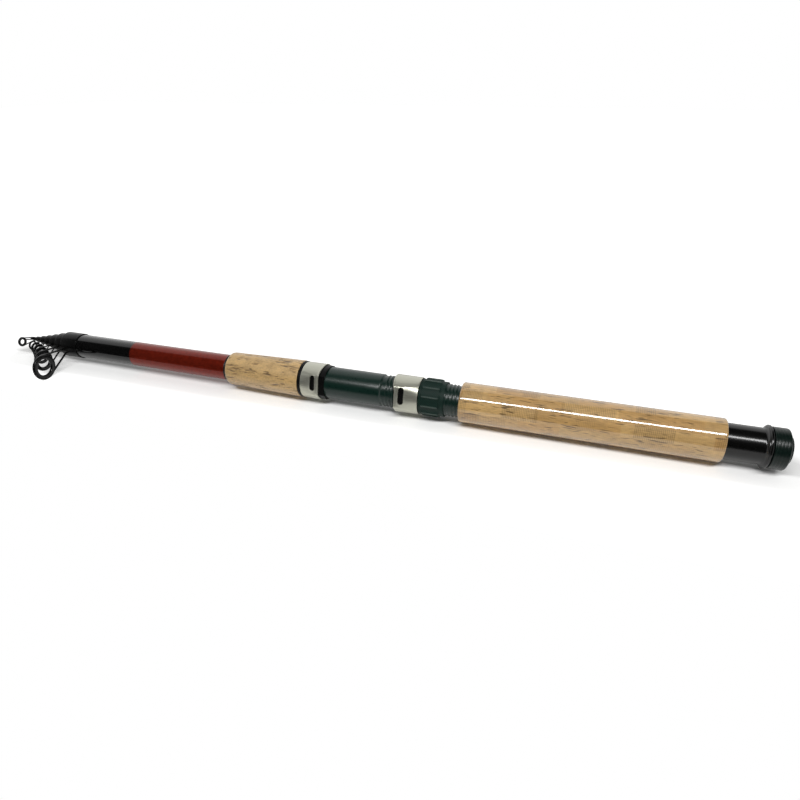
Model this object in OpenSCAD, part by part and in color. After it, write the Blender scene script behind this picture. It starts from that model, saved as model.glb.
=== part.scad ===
// Telescopic fishing rod, closed and lying down.
// Origin: centre of the butt end face. +X points out of the butt, the tip lies towards -X, +Z is up.
// Every piece is drawn along +Z from butt to tip, with local +X up, and then laid along the rod.

/* [Butt end] */
// Diameter of the end disc in the cap's face
end_disc_d = 18; // [12:0.5:20]
// How far the end disc stands proud of the cap
end_disc_t = 2; // [1:0.5:3]
// Depth of the end disc's seat in the cap
end_disc_seat = 1.5; // [1:0.5:3]
// Diameter of the butt cap
cap_d = 24.8; // [24:0.2:28]
// Length of the butt cap's body
cap_len = 9.3; // [8:0.1:14]
// Rounding of the butt cap's edges
cap_edge_r = 1.6; // [0.6:0.2:2.4]
// Diameter of the cap's threaded plug over its thread
plug_d = 17.8; // [17:0.1:18.4]
// Length of the plug beyond the seal
plug_len = 17; // [14:0.5:20]
// Bore that lightens the plug
plug_bore_d = 12; // [8:0.5:13]
// Thread pitch of the plug
plug_pitch = 1.5; // [1:0.25:2]
// Thread depth of the plug
plug_thread_depth = 0.5; // [0.3:0.1:0.6]
// Thickness of the seal ring's section
seal_t = 0.84; // [0.6:0.02:1.6]
// Diameter of the seat that carries the seal ring
seal_seat_d = 21.8; // [20:0.2:22]
// Thickness of the rattle pad on the plug
pad_t = 3; // [2:0.5:5]
// Diameter of the ferrule's flange
flange_d = 26.8; // [25:0.2:30]
// Thickness of the ferrule's flange
flange_t = 2.7; // [2:0.1:5]
// Chamfer at the front of the ferrule's flange
flange_chamfer = 0.9; // [0.3:0.1:1.5]
// Diameter of the ferrule's black sleeve
sleeve_d = 23; // [22.8:0.1:24]
// Length of the sleeve that shows behind the rear grip
sleeve_show = 22; // [15:0.5:40]
// Length of the sleeve that goes under the rear grip
sleeve_lap = 13; // [8:0.5:20]

/* [Grips] */
// Diameter of the rear grip
rear_grip_d = 28; // [26:0.5:32]
// Length of the rear grip
rear_grip_len = 166; // [120:1:220]
// Length of the fore grip
fore_grip_len = 61; // [40:1:90]
// Diameter of the fore grip at its rear end
fore_grip_rear_d = 27.4; // [25:0.2:30]
// Diameter of the fore grip at its front end
fore_grip_front_d = 24.8; // [23:0.2:28]
// Rounding of the fore grip's front edge
fore_grip_edge_r = 2.2; // [0.5:0.1:2.6]
// Diameter of the trim ring behind the fore grip
trim_d = 27; // [25:0.2:30]
// Thickness of the trim ring
trim_t = 2.5; // [1:0.1:4]
// Chamfer at the trim ring's edges
trim_chamfer = 0.5; // [0.2:0.05:0.5]
// Length of the winding in front of the fore grip
winding_len = 2.7; // [2:0.1:8]
// Thickness of the winding on the blank
winding_t = 0.6; // [0.3:0.1:1]

/* [Reel seat] */
// Length of the reel seat's barrel
seat_len = 118; // [105:1:140]
// Wall of the barrel at its rear end, over the thread
barrel_wall = 1.4; // [1.2:0.1:2]
// Depth of the flat along the barrel's underside
barrel_flat = 0.6; // [0.3:0.05:0.7]
// Length of the threaded stretch
thread_len = 56.5; // [50:0.5:60]
// Thread pitch of the barrel
thread_pitch = 2.5; // [2:0.25:3]
// Thread depth of the barrel
thread_depth = 0.7; // [0.4:0.05:0.8]
// Distance from the rear grip to the lock nut
nut_place = 10.5; // [10.5:0.5:14]
// Length of the lock nut
nut_len = 18.1; // [14:0.1:20]
// Diameter of the lock nut over its corners
nut_d = 26.6; // [26:0.2:30]
// Flats around the lock nut
nut_flats = 12; // [8:1:12]
// Chamfer at the lock nut's ends
nut_chamfer = 1.1; // [0.5:0.1:1.5]
// Length of the moving hood
moving_hood_len = 18.1; // [15:0.1:22]
// Length of the fixed hood
fixed_hood_len = 14.8; // [13:0.1:20]
// Length of the fixed hood's cushion that stands out of its mouth
fixed_lip = 4.9; // [2:0.1:8]
// Length of the moving hood's cushion that stands out of its mouth
moving_lip = 0.8; // [0.4:0.1:2]
// Thickness of the hoods' steel sheet
hood_sheet = 0.7; // [0.5:0.05:1]
// Thickness of the cushion between barrel and hood
cushion_t = 0.6; // [0.5:0.05:1.2]
// Height of the pocket for the reel foot, over the barrel's flat
foot_h = 3; // [2.6:0.1:4]
// Width of the pocket for the reel foot
foot_w = 13; // [11:0.5:14]
// Width of the cushion left beside the reel foot
foot_side = 2.2; // [1.8:0.1:3]
// Depth that the reel foot goes into a hood
foot_depth = 11; // [8:0.5:12]
// Rounding of the hoods' lower corners
hood_corner_r = 3.5; // [2.5:0.25:4]
// Width of the flats pressed into the hoods' sides, measured as the depth pressed in
hood_side_flat = 0.3; // [0.1:0.05:0.4]
// Width of the slots in the hoods' sides
slot_w = 3; // [2:0.25:4]
// Length of the slots in the hoods' sides
slot_len = 10.6; // [8:0.2:12]
// Distance from a hood's mouth to the middle of its slots
slot_setback = 5; // [3.5:0.25:6]
// Turn of the reel seat about the rod, in degrees
seat_roll = 14; // [0:1:20]

/* [Blank] */
// Diameter of the butt section at its rear end
blank_butt_d = 21.4; // [21:0.1:21.5]
// Diameter of the butt section at its mouth
blank_mouth_d = 19; // [18.6:0.1:20.4]
// Wall of the butt section
blank_wall = 1.5; // [1.3:0.05:1.6]
// Length of the lacquered blank that shows
bare_blank_len = 139.9; // [100:1:200]
// Length of the collar at the butt section's mouth
mouth_collar_len = 15.4; // [10:0.1:20]
// Wall of that collar
mouth_collar_wall = 0.65; // [0.5:0.05:1]

/* [Sections] */
// Wall of the first sliding section
section_wall = 0.88; // [0.8:0.01:0.9]
// How much thinner the wall of each next section is
section_wall_step = 0.085; // [0.06:0.005:0.1]
// Diameter that the first sliding section loses from butt to mouth
section_taper = 1.75; // [1.6:0.05:1.8]
// How much less of it each next section loses
section_taper_step = 0.2; // [0.18:0.01:0.24]
// Length of the first section's collar
collar_len_first = 7.5; // [6.5:0.1:9]
// How much shorter each next collar is
collar_len_step = 0.45; // [0.2:0.05:0.6]
// How far a collar's rim laps over the mouth that stops it
collar_lap = 0.3; // [0.2:0.05:0.4]
// Length of the tip-top's tube
tip_tube_len = 6.5; // [5:0.5:10]

/* [Guides] */
// Distance from the rod's axis to the centre of the largest ring
guide_reach = 33.7; // [30:0.1:38]
// Reach of each guide as a share of the one before
guide_reach_step = 0.77; // [0.74:0.01:0.8]
// Outside diameter of the largest ring
ring_d = 20.6; // [18:0.2:22]
// Size of each ring as a share of the one before
ring_step = 0.83; // [0.8:0.01:0.86]
// Radial thickness of the largest ring's frame
ring_frame_t = 1.3; // [1:0.1:1.8]
// Radial thickness of the largest ring's liner
ring_liner_t = 2.4; // [1.6:0.1:2.8]
// Width of the largest ring along the rod
ring_w = 2.6; // [2:0.1:3.2]
// Thickness of the largest guide's wire
guide_wire_d = 1.5; // [1.2:0.05:1.6]
// Distance from a collar's front to its ring's middle plane
ring_setback = 3.6; // [3:0.1:4]
// Distance from the rod's axis to the centre of the tip-top's ring
tip_reach = 6.5; // [5.5:0.1:8]
// Outside diameter of the tip-top's ring
tip_ring_d = 8.2; // [7:0.1:9]
// Hole in the tip-top's ring
tip_hole_d = 4; // [3:0.1:4.4]
// Radial thickness of the tip-top's ring frame
tip_frame_t = 0.8; // [0.6:0.05:1]
// Width of the tip-top's ring along the rod
tip_ring_w = 1.2; // [0.8:0.1:2]
// Thickness of the tip-top's wire
tip_wire_d = 0.9; // [0.7:0.05:1]
// Distance from the tip-top's tube to its ring's middle plane
tip_ring_ahead = 3.7; // [2:0.1:5]
// Gap between the tip-top's wires and its ring's liner
tip_wire_gap = 0.25; // [0.2:0.05:0.4]

/* [Fits] */
// Radial gap that glue fills between pieces of one body
glue_gap = 0.05; // [0.03:0.01:0.1]
// Radial clearance of a screw thread
thread_gap = 0.08; // [0.05:0.01:0.1]
// Radial clearance of the moving hood on the barrel
slide_gap = 0.15; // [0.1:0.01:0.3]
// Radial clearance of a section at the mouth it slides in
section_gap = 0.02; // [0.01:0.005:0.04]
// Gap between faces that meet when the rod is closed
face_gap = 0.3; // [0.1:0.05:0.5]
// Gap between the closed sections and the rattle pad
rest_gap = 0.5; // [0.3:0.1:2]

/* [Hidden] */
$fn = 96;
SECTIONS = 5;
TIP = SECTIONS + 1;
// Distance of a guide leg's foot from the middle of its collar's face, as a share of the wire's thickness
LEG_SPREAD = 4 / 3;
// Share of a hood's length over which its pocket ramps out
HOOD_RAMP = 0.6;
// Shares of the pitch at which a ridge's crest starts and ends and its root starts and ends
RIDGE = [0.15, 0.45, 0.7, 0.9];
// Shares of a wall that the edges of collars and ring bands are cut back by
COLLAR_EDGE = 0.5;
BAND_EDGE = 1 / 3;
// Share of the tip-top ring's width that its bore's edges are cut back by
TIP_EDGE = 0.25;
// Extra length that lets a cut run past a face
PAST = 1;

// Places along the rod, measured from the butt end face
cap_s = end_disc_t;
seal_s = cap_s + cap_len;
flange_s = seal_s + seal_t + 2 * glue_gap;
sleeve_s = flange_s + flange_t;
rear_grip_s = sleeve_s + sleeve_show;
seat_s = rear_grip_s + rear_grip_len;
trim_s = seat_s + seat_len;
fore_grip_s = trim_s + trim_t;
winding_s = fore_grip_s + fore_grip_len;
bare_s = winding_s + winding_len;
mouth_s = bare_s + bare_blank_len + mouth_collar_len;
plug_end_s = flange_s + plug_len;
pad_end_s = plug_end_s + pad_t;
blank_s = pad_end_s;
closed_s = pad_end_s + rest_gap;
nut_s = seat_s + nut_place;
moving_hood_s = nut_s + nut_len + face_gap;

// Radius of the butt section's outside at a place along the rod
function blank_r(s) = blank_butt_d / 2
    + (blank_mouth_d - blank_butt_d) / 2 * (s - blank_s) / (mouth_s - blank_s);
// Wall, taper, mouth sizes and places of the telescoping sections; 0 is the butt section
function wall_at(i) = i == 0 ? blank_wall : section_wall - (i - 1) * section_wall_step;
function taper_at(i) = section_taper - (i - 1) * section_taper_step;
function mouth_od(i) = i == 0 ? blank_mouth_d : mouth_id(i - 1) - 2 * section_gap - taper_at(i);
function mouth_id(i) = mouth_od(i) - 2 * wall_at(i);
function collar_len(i) = i == 0 ? mouth_collar_len
    : i == TIP ? tip_tube_len : collar_len_first - (i - 1) * collar_len_step;
function front_s(i) = i == 0 ? mouth_s : front_s(i - 1) + face_gap + collar_len(i);
function collar_r(i) = i == 0 ? blank_r(mouth_s - mouth_collar_len) + glue_gap + mouth_collar_wall
    : mouth_id(i - 1) / 2 + collar_lap;
function section_r(i, s) = mouth_od(i) / 2 + taper_at(i) / 2 * (front_s(i) - s) / (front_s(i) - closed_s);
// Sizes of the guides
function reach_at(i) = guide_reach * pow(guide_reach_step, i);
function ring_scale(i) = pow(ring_step, i);
function ring_s(i) = front_s(i) - ring_setback;

// Reel seat radii
barrel_r = blank_r(seat_s) + glue_gap + barrel_wall;
flat_x = barrel_r - barrel_flat;
cushion_in_r = barrel_r + slide_gap;
hood_r = cushion_in_r + cushion_t + glue_gap + hood_sheet;
pocket_x = flat_x + foot_h + cushion_t + glue_gap + hood_sheet;
pocket_half = foot_w / 2 + foot_side + glue_gap + hood_sheet;

// The hoods' lowest corner and the largest ring lie on one surface, which sets the guides' direction
seat_low = (pocket_x - hood_corner_r) * cos(seat_roll)
    + (pocket_half - hood_corner_r) * sin(seat_roll) + hood_corner_r;
guide_drop = asin((seat_low - ring_d / 2) / guide_reach);

// Lays a piece drawn along +Z down along the rod
module along_rod() {
    rotate([0, -90, 0]) children();
}

// Turns local +X towards the side that the guides stand on
module toward_guides() {
    rotate([0, 0, -90 - guide_drop]) children();
}

// Tapered sleeve between two places, with its own outside and inside radii at each
module sleeve(s0, s1, out0, out1, in0, in1) {
    rotate_extrude() polygon([[in0, s0], [out0, s0], [out1, s1], [in1, s1]]);
}

// Round bar from one point to another
module wire(from, to, d) {
    v = to - from;
    len = norm(v);
    translate(from)
        rotate([0, acos(v[2] / len), atan2(v[1], v[0])])
            cylinder(d = d, h = len, $fn = 24);
}

// Outline of a ridged bar: straight stretches with one ridge per pitch, crest first
function ridges(s0, length, pitch, crest, depth) = [
    for (k = [0:floor(length / pitch) - 1]) each [
        [crest, s0 + (k + RIDGE[0]) * pitch],
        [crest, s0 + (k + RIDGE[1]) * pitch],
        [crest - depth, s0 + (k + RIDGE[2]) * pitch],
        [crest - depth, s0 + (k + RIDGE[3]) * pitch]
    ]];

module end_disc() {
    color("#1c2a26") along_rod()
        rotate_extrude() union() {
            square([end_disc_d / 2 - end_disc_t / 2, end_disc_t + end_disc_seat]);
            translate([0, end_disc_t / 2])
                square([end_disc_d / 2, end_disc_t / 2 + end_disc_seat]);
            translate([end_disc_d / 2 - end_disc_t / 2, end_disc_t / 2]) circle(d = end_disc_t);
        }
}

module butt_cap() {
    seat_r = end_disc_d / 2 + glue_gap;
    color("#0a1a16") along_rod() {
        difference() {
            rotate_extrude() union() {
                translate([0, cap_s]) square([cap_d / 2 - cap_edge_r, cap_len]);
                translate([0, cap_s + cap_edge_r]) square([cap_d / 2, cap_len - 2 * cap_edge_r]);
                for (s = [cap_s + cap_edge_r, seal_s - cap_edge_r])
                    translate([cap_d / 2 - cap_edge_r, s]) circle(r = cap_edge_r);
                translate([0, seal_s - glue_gap]) square([seal_seat_d / 2, seal_t + glue_gap]);
                polygon(concat([[0, seal_s]], [[plug_d / 2 - plug_thread_depth, seal_s]],
                    ridges(flange_s, plug_len, plug_pitch, plug_d / 2, plug_thread_depth),
                    [[plug_d / 2 - plug_thread_depth, plug_end_s], [0, plug_end_s]]));
            }
            translate([0, 0, cap_s - PAST])
                cylinder(r = seat_r, h = PAST + end_disc_seat + glue_gap);
            translate([0, 0, seal_s]) cylinder(d = plug_bore_d, h = plug_end_s - seal_s + PAST);
        }
    }
}

module cap_seal() {
    ring_r = seal_seat_d / 2 + glue_gap + seal_t / 2;
    color("#151515") along_rod()
        translate([0, 0, seal_s + glue_gap + seal_t / 2])
            rotate_extrude() translate([ring_r, 0]) circle(d = seal_t, $fn = 32);
}

module rattle_pad() {
    color("#3a3a3a") along_rod()
        translate([0, 0, plug_end_s]) cylinder(d = plug_d - 2 * plug_thread_depth, h = pad_t);
}

module butt_ferrule() {
    bore_r = plug_d / 2 + thread_gap;
    end_s = rear_grip_s + sleeve_lap;
    color("#101412") along_rod()
        rotate_extrude() polygon([
            [bore_r, flange_s], [flange_d / 2, flange_s],
            [flange_d / 2, sleeve_s - flange_chamfer], [flange_d / 2 - flange_chamfer, sleeve_s],
            [sleeve_d / 2, sleeve_s], [sleeve_d / 2, end_s],
            [blank_r(end_s) + glue_gap, end_s], [blank_r(blank_s) + glue_gap, blank_s - glue_gap],
            [bore_r, blank_s - glue_gap]]);
}

module rear_grip() {
    step_s = rear_grip_s + sleeve_lap + glue_gap;
    color("#b0935f") along_rod()
        rotate_extrude() polygon([
            [sleeve_d / 2 + glue_gap, rear_grip_s], [rear_grip_d / 2, rear_grip_s],
            [rear_grip_d / 2, seat_s], [blank_r(seat_s) + glue_gap, seat_s],
            [blank_r(step_s) + glue_gap, step_s], [sleeve_d / 2 + glue_gap, step_s]]);
}

module reel_seat_barrel() {
    root_r = barrel_r - thread_depth;
    color("#061b14") along_rod()
        difference() {
            rotate_extrude() polygon(concat(
                [[blank_r(seat_s) + glue_gap, seat_s], [root_r, seat_s]],
                ridges(seat_s, thread_len, thread_pitch, barrel_r, thread_depth),
                [[root_r, seat_s + thread_len], [barrel_r, seat_s + thread_len + thread_depth],
                 [barrel_r, trim_s], [blank_r(trim_s) + glue_gap, trim_s]]));
            rotate([0, 0, seat_roll])
                translate([-flat_x - barrel_r, -barrel_r, seat_s - PAST])
                    cube([barrel_r, 2 * barrel_r, seat_len + 2 * PAST]);
        }
}

module lock_nut() {
    color("#04160f") along_rod()
        translate([0, 0, nut_s]) difference() {
            intersection() {
                cylinder(d = nut_d, h = nut_len, $fn = nut_flats);
                rotate_extrude() polygon([
                    [0, 0], [nut_d / 2 - nut_chamfer, 0], [nut_d / 2, nut_chamfer],
                    [nut_d / 2, nut_len - nut_chamfer], [nut_d / 2 - nut_chamfer, nut_len],
                    [0, nut_len]]);
            }
            translate([0, 0, -PAST]) cylinder(r = barrel_r + thread_gap, h = nut_len + 2 * PAST);
        }
}

// Solid form of a hood from its base at 0 to its mouth, drawn in all round by inset and run on past the mouth
module hood_block(length, inset, past = 0) {
    half = pocket_half - inset;
    depth = pocket_x - inset;
    corner = hood_corner_r - inset;
    end = length + past;
    cylinder(r = hood_r - inset, h = end);
    intersection() {
        linear_extrude(end) union() {
            translate([-depth + corner, -half]) square([depth - corner, 2 * half]);
            translate([-depth, -half + corner]) square([depth, 2 * half - 2 * corner]);
            for (side = [-1, 1])
                translate([-depth + corner, side * (half - corner)]) circle(r = corner);
        }
        rotate([90, 0, 0]) linear_extrude(4 * half, center = true) polygon([
            [0, 0], [-hood_r + hood_sheet + inset, 0], [-depth, length * HOOD_RAMP],
            [-depth, end], [0, end]]);
    }
}

// Oblong bars through both sides of a hood at its slots
module slot_bars(length, gap, reach) {
    w = slot_w - 2 * gap;
    l = slot_len - 2 * gap;
    translate([0, 0, length - slot_setback]) rotate([90, 0, 0])
        linear_extrude(2 * reach, center = true) union() {
            square([l - w, w], center = true);
            for (side = [-1, 1]) translate([side * (l - w) / 2, 0]) circle(d = w);
        }
}

module hood_shell(length) {
    side = hood_r - hood_side_flat;
    difference() {
        intersection() {
            hood_block(length, 0);
            translate([-2 * hood_r, -side, -PAST]) cube([4 * hood_r, 2 * side, length + 2 * PAST]);
        }
        translate([0, 0, -PAST]) cylinder(r = hood_r - hood_sheet, h = length + 2 * PAST);
        hood_block(length, hood_sheet, PAST);
        slot_bars(length, 0, 2 * hood_r);
    }
}

module hood_cushion(length, lip, bore_gap) {
    inset = hood_sheet + glue_gap;
    rim_r = hood_r - inset;
    pocket_top = flat_x + foot_h;
    lip_edge = bore_gap + cushion_t / 2;
    difference() {
        union() {
            hood_block(length, inset);
            rotate_extrude() polygon([
                [0, length / 2], [rim_r, length / 2], [rim_r, length + lip / 2],
                [barrel_r + lip_edge, length + lip], [0, length + lip]]);
            intersection() {
                slot_bars(length, glue_gap, hood_r - hood_side_flat - glue_gap);
                cylinder(r = hood_r, h = length);
            }
        }
        intersection() {
            translate([0, 0, -PAST])
                cylinder(r = barrel_r + bore_gap, h = length + lip + 2 * PAST);
            translate([-flat_x - bore_gap, -2 * hood_r, -2 * PAST])
                cube([4 * hood_r, 4 * hood_r, length + lip + 4 * PAST]);
        }
        translate([-pocket_top, -foot_w / 2, length - foot_depth])
            cube([pocket_top, foot_w, foot_depth + lip + PAST]);
    }
}

// Places a hood piece on the seat, with its base at s and its mouth towards the tip
module on_moving_hood() {
    along_rod() rotate([0, 0, seat_roll]) translate([0, 0, moving_hood_s]) children();
}

// The fixed hood is turned round: its base is at the seat's front and its mouth faces the butt
module on_fixed_hood() {
    along_rod() rotate([0, 0, seat_roll]) translate([0, 0, trim_s]) mirror([0, 0, 1]) children();
}

module moving_hood() {
    color("#bfbdb0") on_moving_hood() hood_shell(moving_hood_len);
}

module moving_hood_cushion() {
    color("#121614") on_moving_hood() hood_cushion(moving_hood_len, moving_lip, slide_gap);
}

module fixed_hood() {
    color("#bfbdb0") on_fixed_hood() hood_shell(fixed_hood_len);
}

module fixed_hood_cushion() {
    color("#121614") on_fixed_hood() hood_cushion(fixed_hood_len, fixed_lip, glue_gap);
}

module trim_ring() {
    color("#141414") along_rod()
        rotate_extrude() polygon([
            [blank_r(trim_s) + glue_gap, trim_s], [trim_d / 2 - trim_chamfer, trim_s],
            [trim_d / 2, trim_s + trim_chamfer], [trim_d / 2, fore_grip_s - trim_chamfer],
            [trim_d / 2 - trim_chamfer, fore_grip_s], [blank_r(fore_grip_s) + glue_gap, fore_grip_s]]);
}

module fore_grip() {
    front_r = fore_grip_front_d / 2;
    color("#b39768") along_rod()
        difference() {
            rotate_extrude() union() {
                polygon([[0, fore_grip_s], [fore_grip_rear_d / 2, fore_grip_s],
                    [front_r, winding_s - fore_grip_edge_r], [0, winding_s - fore_grip_edge_r]]);
                square_s = winding_s - fore_grip_edge_r;
                translate([0, square_s]) square([front_r - fore_grip_edge_r, fore_grip_edge_r]);
                translate([front_r - fore_grip_edge_r, square_s])
                    intersection() {
                        circle(r = fore_grip_edge_r);
                        square(fore_grip_edge_r);
                    }
            }
            sleeve(fore_grip_s - PAST, winding_s + PAST, blank_r(fore_grip_s - PAST) + glue_gap,
                blank_r(winding_s + PAST) + glue_gap, 0, 0);
        }
}

module fore_winding() {
    color("#111111") along_rod()
        sleeve(winding_s, bare_s, blank_r(winding_s) + glue_gap + winding_t,
            blank_r(bare_s) + glue_gap + winding_t / 2,
            blank_r(winding_s) + glue_gap, blank_r(bare_s) + glue_gap);
}

module butt_section() {
    color("#4a1a16") along_rod()
        sleeve(blank_s, mouth_s, blank_butt_d / 2, blank_mouth_d / 2,
            blank_butt_d / 2 - blank_wall, blank_mouth_d / 2 - blank_wall);
}

// Sliding section: a tapered tube that jams in its parent's mouth when it is drawn out
module section(i) {
    butt_r = section_r(i, closed_s);
    front_r = mouth_od(i) / 2;
    color("#17191a") along_rod()
        sleeve(closed_s, front_s(i), butt_r, front_r, butt_r - wall_at(i), front_r - wall_at(i));
}

module tip_section() {
    color("#17191a") along_rod()
        sleeve(closed_s, front_s(TIP) - glue_gap, section_r(TIP, closed_s), mouth_od(TIP) / 2, 0, 0);
}

// Collar that carries a guide on the mouth end of section i
module collar(i) {
    s0 = front_s(i) - collar_len(i);
    s1 = front_s(i);
    in0 = (i == 0 ? blank_r(s0) : section_r(i, s0)) + glue_gap;
    in1 = (i == 0 ? blank_r(s1) : section_r(i, s1)) + glue_gap;
    edge = (collar_r(i) - in1) * COLLAR_EDGE;
    rotate_extrude() polygon([[in0, s0], [collar_r(i), s0], [collar_r(i), s1 - edge],
        [collar_r(i) - edge, s1], [in1, s1]]);
}

// Band that holds a ring's liner, with its outside at radius r
module ring_band(r, t, w) {
    edge = t * BAND_EDGE;
    rotate_extrude() polygon([[r - t, -w / 2], [r - edge, -w / 2], [r, -w / 2 + edge],
        [r, w / 2 - edge], [r - edge, w / 2], [r - t, w / 2]]);
}

// Liner with a round bore edge, with its outside at radius r
module ring_liner(r, t, w) {
    rotate_extrude() intersection() {
        translate([r - t, -w / 2]) square([t, w]);
        union() {
            translate([r - t + w / 2, -w / 2]) square([t, w]);
            translate([r - t + w / 2, 0]) circle(d = w, $fn = 48);
        }
    }
}

// Point where a straight line from a touches the circle of radius r round c, on the side given as 1 or -1
function tangent_point(a, c, r, side) =
    let (v = c - a, dist = norm(v), turn = side * asin(r / dist), share = cos(turn))
    a + share * [v[0] * cos(turn) - v[1] * sin(turn), v[0] * sin(turn) + v[1] * cos(turn)];

// Guide frame: collar, two wire legs that spread from it and run along the band, and the band round the ring
module guide_frame(i) {
    k = ring_scale(i);
    d = guide_wire_d * k;
    bore = (i == 0 ? blank_r(ring_s(i)) : section_r(i, ring_s(i))) + glue_gap;
    foot_r = (collar_r(i) + bore) / 2;
    leg_y = LEG_SPREAD * d;
    leg_x = sqrt(foot_r * foot_r - leg_y * leg_y);
    leg_r = (ring_d / 2 - ring_frame_t) * k + d / 2 + glue_gap;
    color("#141414") along_rod() {
        collar(i);
        toward_guides() translate([0, 0, ring_s(i)]) {
            for (side = [-1, 1]) {
                root = [leg_x, side * leg_y];
                end = tangent_point(root, [reach_at(i), 0], leg_r, side);
                wire([root[0], root[1], 0], [end[0], end[1], 0], d);
            }
            translate([reach_at(i), 0, 0]) ring_band(ring_d / 2 * k, ring_frame_t * k, ring_w * k);
        }
    }
}

module guide_ring(i) {
    k = ring_scale(i);
    color("#26282a") along_rod() toward_guides()
        translate([reach_at(i), 0, ring_s(i)])
            ring_liner((ring_d / 2 - ring_frame_t) * k - glue_gap, ring_liner_t * k - glue_gap, ring_w * k);
}

module tip_top_frame() {
    ring_plane = front_s(TIP) + tip_ring_ahead;
    leg_r = tip_ring_d / 2 - tip_frame_t + tip_wire_d / 2 + tip_wire_gap - glue_gap;
    tube_r = collar_r(TIP);
    leg_s = front_s(TIP) - tip_tube_len / 2;
    color("#141414") along_rod() {
        collar(TIP);
        toward_guides() {
            for (side = [-1, 1])
                wire([0, side * tube_r, leg_s], [tip_reach, side * leg_r, ring_plane], tip_wire_d);
            wire([tube_r, 0, leg_s], [tip_reach - leg_r, 0, ring_plane], tip_wire_d);
            translate([tip_reach, 0, ring_plane]) ring_band(tip_ring_d / 2, tip_frame_t, tip_ring_w);
        }
    }
}

module tip_top_ring() {
    liner_r = tip_ring_d / 2 - tip_frame_t - glue_gap;
    land = tip_ring_w / 2;
    edge = tip_ring_w * TIP_EDGE;
    color("#26282a") along_rod() toward_guides()
        translate([tip_reach, 0, front_s(TIP) + tip_ring_ahead])
            rotate_extrude() polygon([
                [tip_hole_d / 2, -edge], [tip_hole_d / 2 + edge, -land], [liner_r, -land],
                [liner_r, land], [tip_hole_d / 2 + edge, land], [tip_hole_d / 2, edge]]);
}

end_disc();
butt_cap();
cap_seal();
rattle_pad();
butt_ferrule();
rear_grip();
reel_seat_barrel();
lock_nut();
moving_hood();
moving_hood_cushion();
fixed_hood();
fixed_hood_cushion();
trim_ring();
fore_grip();
fore_winding();
butt_section();
guide_frame(0);  // stripper_frame
guide_ring(0);  // stripper_ring
for (i = [1:SECTIONS]) {
    section(i);
    guide_frame(i);
    guide_ring(i);
}
tip_section();
tip_top_frame();
tip_top_ring();
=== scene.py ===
import math
from typing import NamedTuple

import bmesh
import bpy
from bpy.props import FloatProperty, FloatVectorProperty, IntProperty, PointerProperty
from mathutils import Matrix, Vector, noise


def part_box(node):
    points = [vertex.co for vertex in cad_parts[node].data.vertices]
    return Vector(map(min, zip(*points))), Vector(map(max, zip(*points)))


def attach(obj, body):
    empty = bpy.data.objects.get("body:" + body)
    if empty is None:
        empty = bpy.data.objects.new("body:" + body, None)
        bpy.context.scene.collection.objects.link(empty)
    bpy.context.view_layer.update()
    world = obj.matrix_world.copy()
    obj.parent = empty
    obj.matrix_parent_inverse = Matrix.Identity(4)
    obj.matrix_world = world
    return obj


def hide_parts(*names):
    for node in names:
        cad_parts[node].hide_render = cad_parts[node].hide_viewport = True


bl_info = {
    "name": "Telescopic rod",
    "version": (1, 0, 0),
    "blender": (4, 5, 0),
    "location": "3D View > Sidebar > Rod",
    "description": "Builds the looks of a closed telescopic fishing rod around its CAD frame",
    "category": "Object",
}

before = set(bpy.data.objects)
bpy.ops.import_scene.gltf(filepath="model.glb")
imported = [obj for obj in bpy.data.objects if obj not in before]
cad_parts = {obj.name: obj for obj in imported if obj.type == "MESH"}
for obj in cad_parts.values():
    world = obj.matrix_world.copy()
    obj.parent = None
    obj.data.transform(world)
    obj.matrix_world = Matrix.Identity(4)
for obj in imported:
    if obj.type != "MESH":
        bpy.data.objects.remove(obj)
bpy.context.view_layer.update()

# Places and radii are worked out in millimetres; s is the distance from the butt end face, and x is -s
MM = 0.001
TAU = 2 * math.pi
SECTIONS = 5
# Turn of the reel seat and of the guides about the rod
SEAT_ROLL = math.radians(14)
GUIDE_DROP = math.radians(10.7425)
# Direction in which the reel foot's pocket lies, and the seat's near side
POCKET = Vector((0, -math.sin(SEAT_ROLL), -math.cos(SEAT_ROLL)))
SEAT_SIDE = Vector((0, -math.cos(SEAT_ROLL), math.sin(SEAT_ROLL)))
# Direction in which the guides stand, and square to it
OUTWARD = Vector((0, -math.cos(GUIDE_DROP), -math.sin(GUIDE_DROP)))
ACROSS = Vector((0, math.sin(GUIDE_DROP), -math.cos(GUIDE_DROP)))


def linear(hex_colour):
    """Linear colour for a hex value as it is seen on a screen."""
    shares = [int(hex_colour[i:i + 2], 16) / 255 for i in (1, 3, 5)]
    return tuple(c / 12.92 if c <= 0.04045 else ((c + 0.055) / 1.055) ** 2.4 for c in shares)


def tinted(colour, red, green=None, blue=None):
    """The colour times a share each for its red, green and blue; one share alone is for all three."""
    return [c * share for c, share in zip(colour, (red, green or red, blue or red))]


def clamped(value):
    """The value, kept between 0 and 1."""
    return max(0.0, min(1.0, value))


def stretch(node):
    """First and last place of a CAD node along the rod, in millimetres."""
    low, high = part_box(node)
    return -high[0] / MM, -low[0] / MM


def girth(node):
    """Radius of a round CAD node that lies on the rod's axis, in millimetres."""
    low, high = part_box(node)
    return (high[1] - low[1]) / 2 / MM


# Sizes and colours that a user would change
def length_property(name, description, default):
    """Property for a length in metres."""
    return FloatProperty(name=name, description=description, default=default, unit="LENGTH")


def colour_property(name, description, hex_colour):
    """Property for a colour, given as it is seen on a screen."""
    return FloatVectorProperty(
        name=name, description=description, default=linear(hex_colour), size=3, subtype="COLOR", min=0, max=1)


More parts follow.
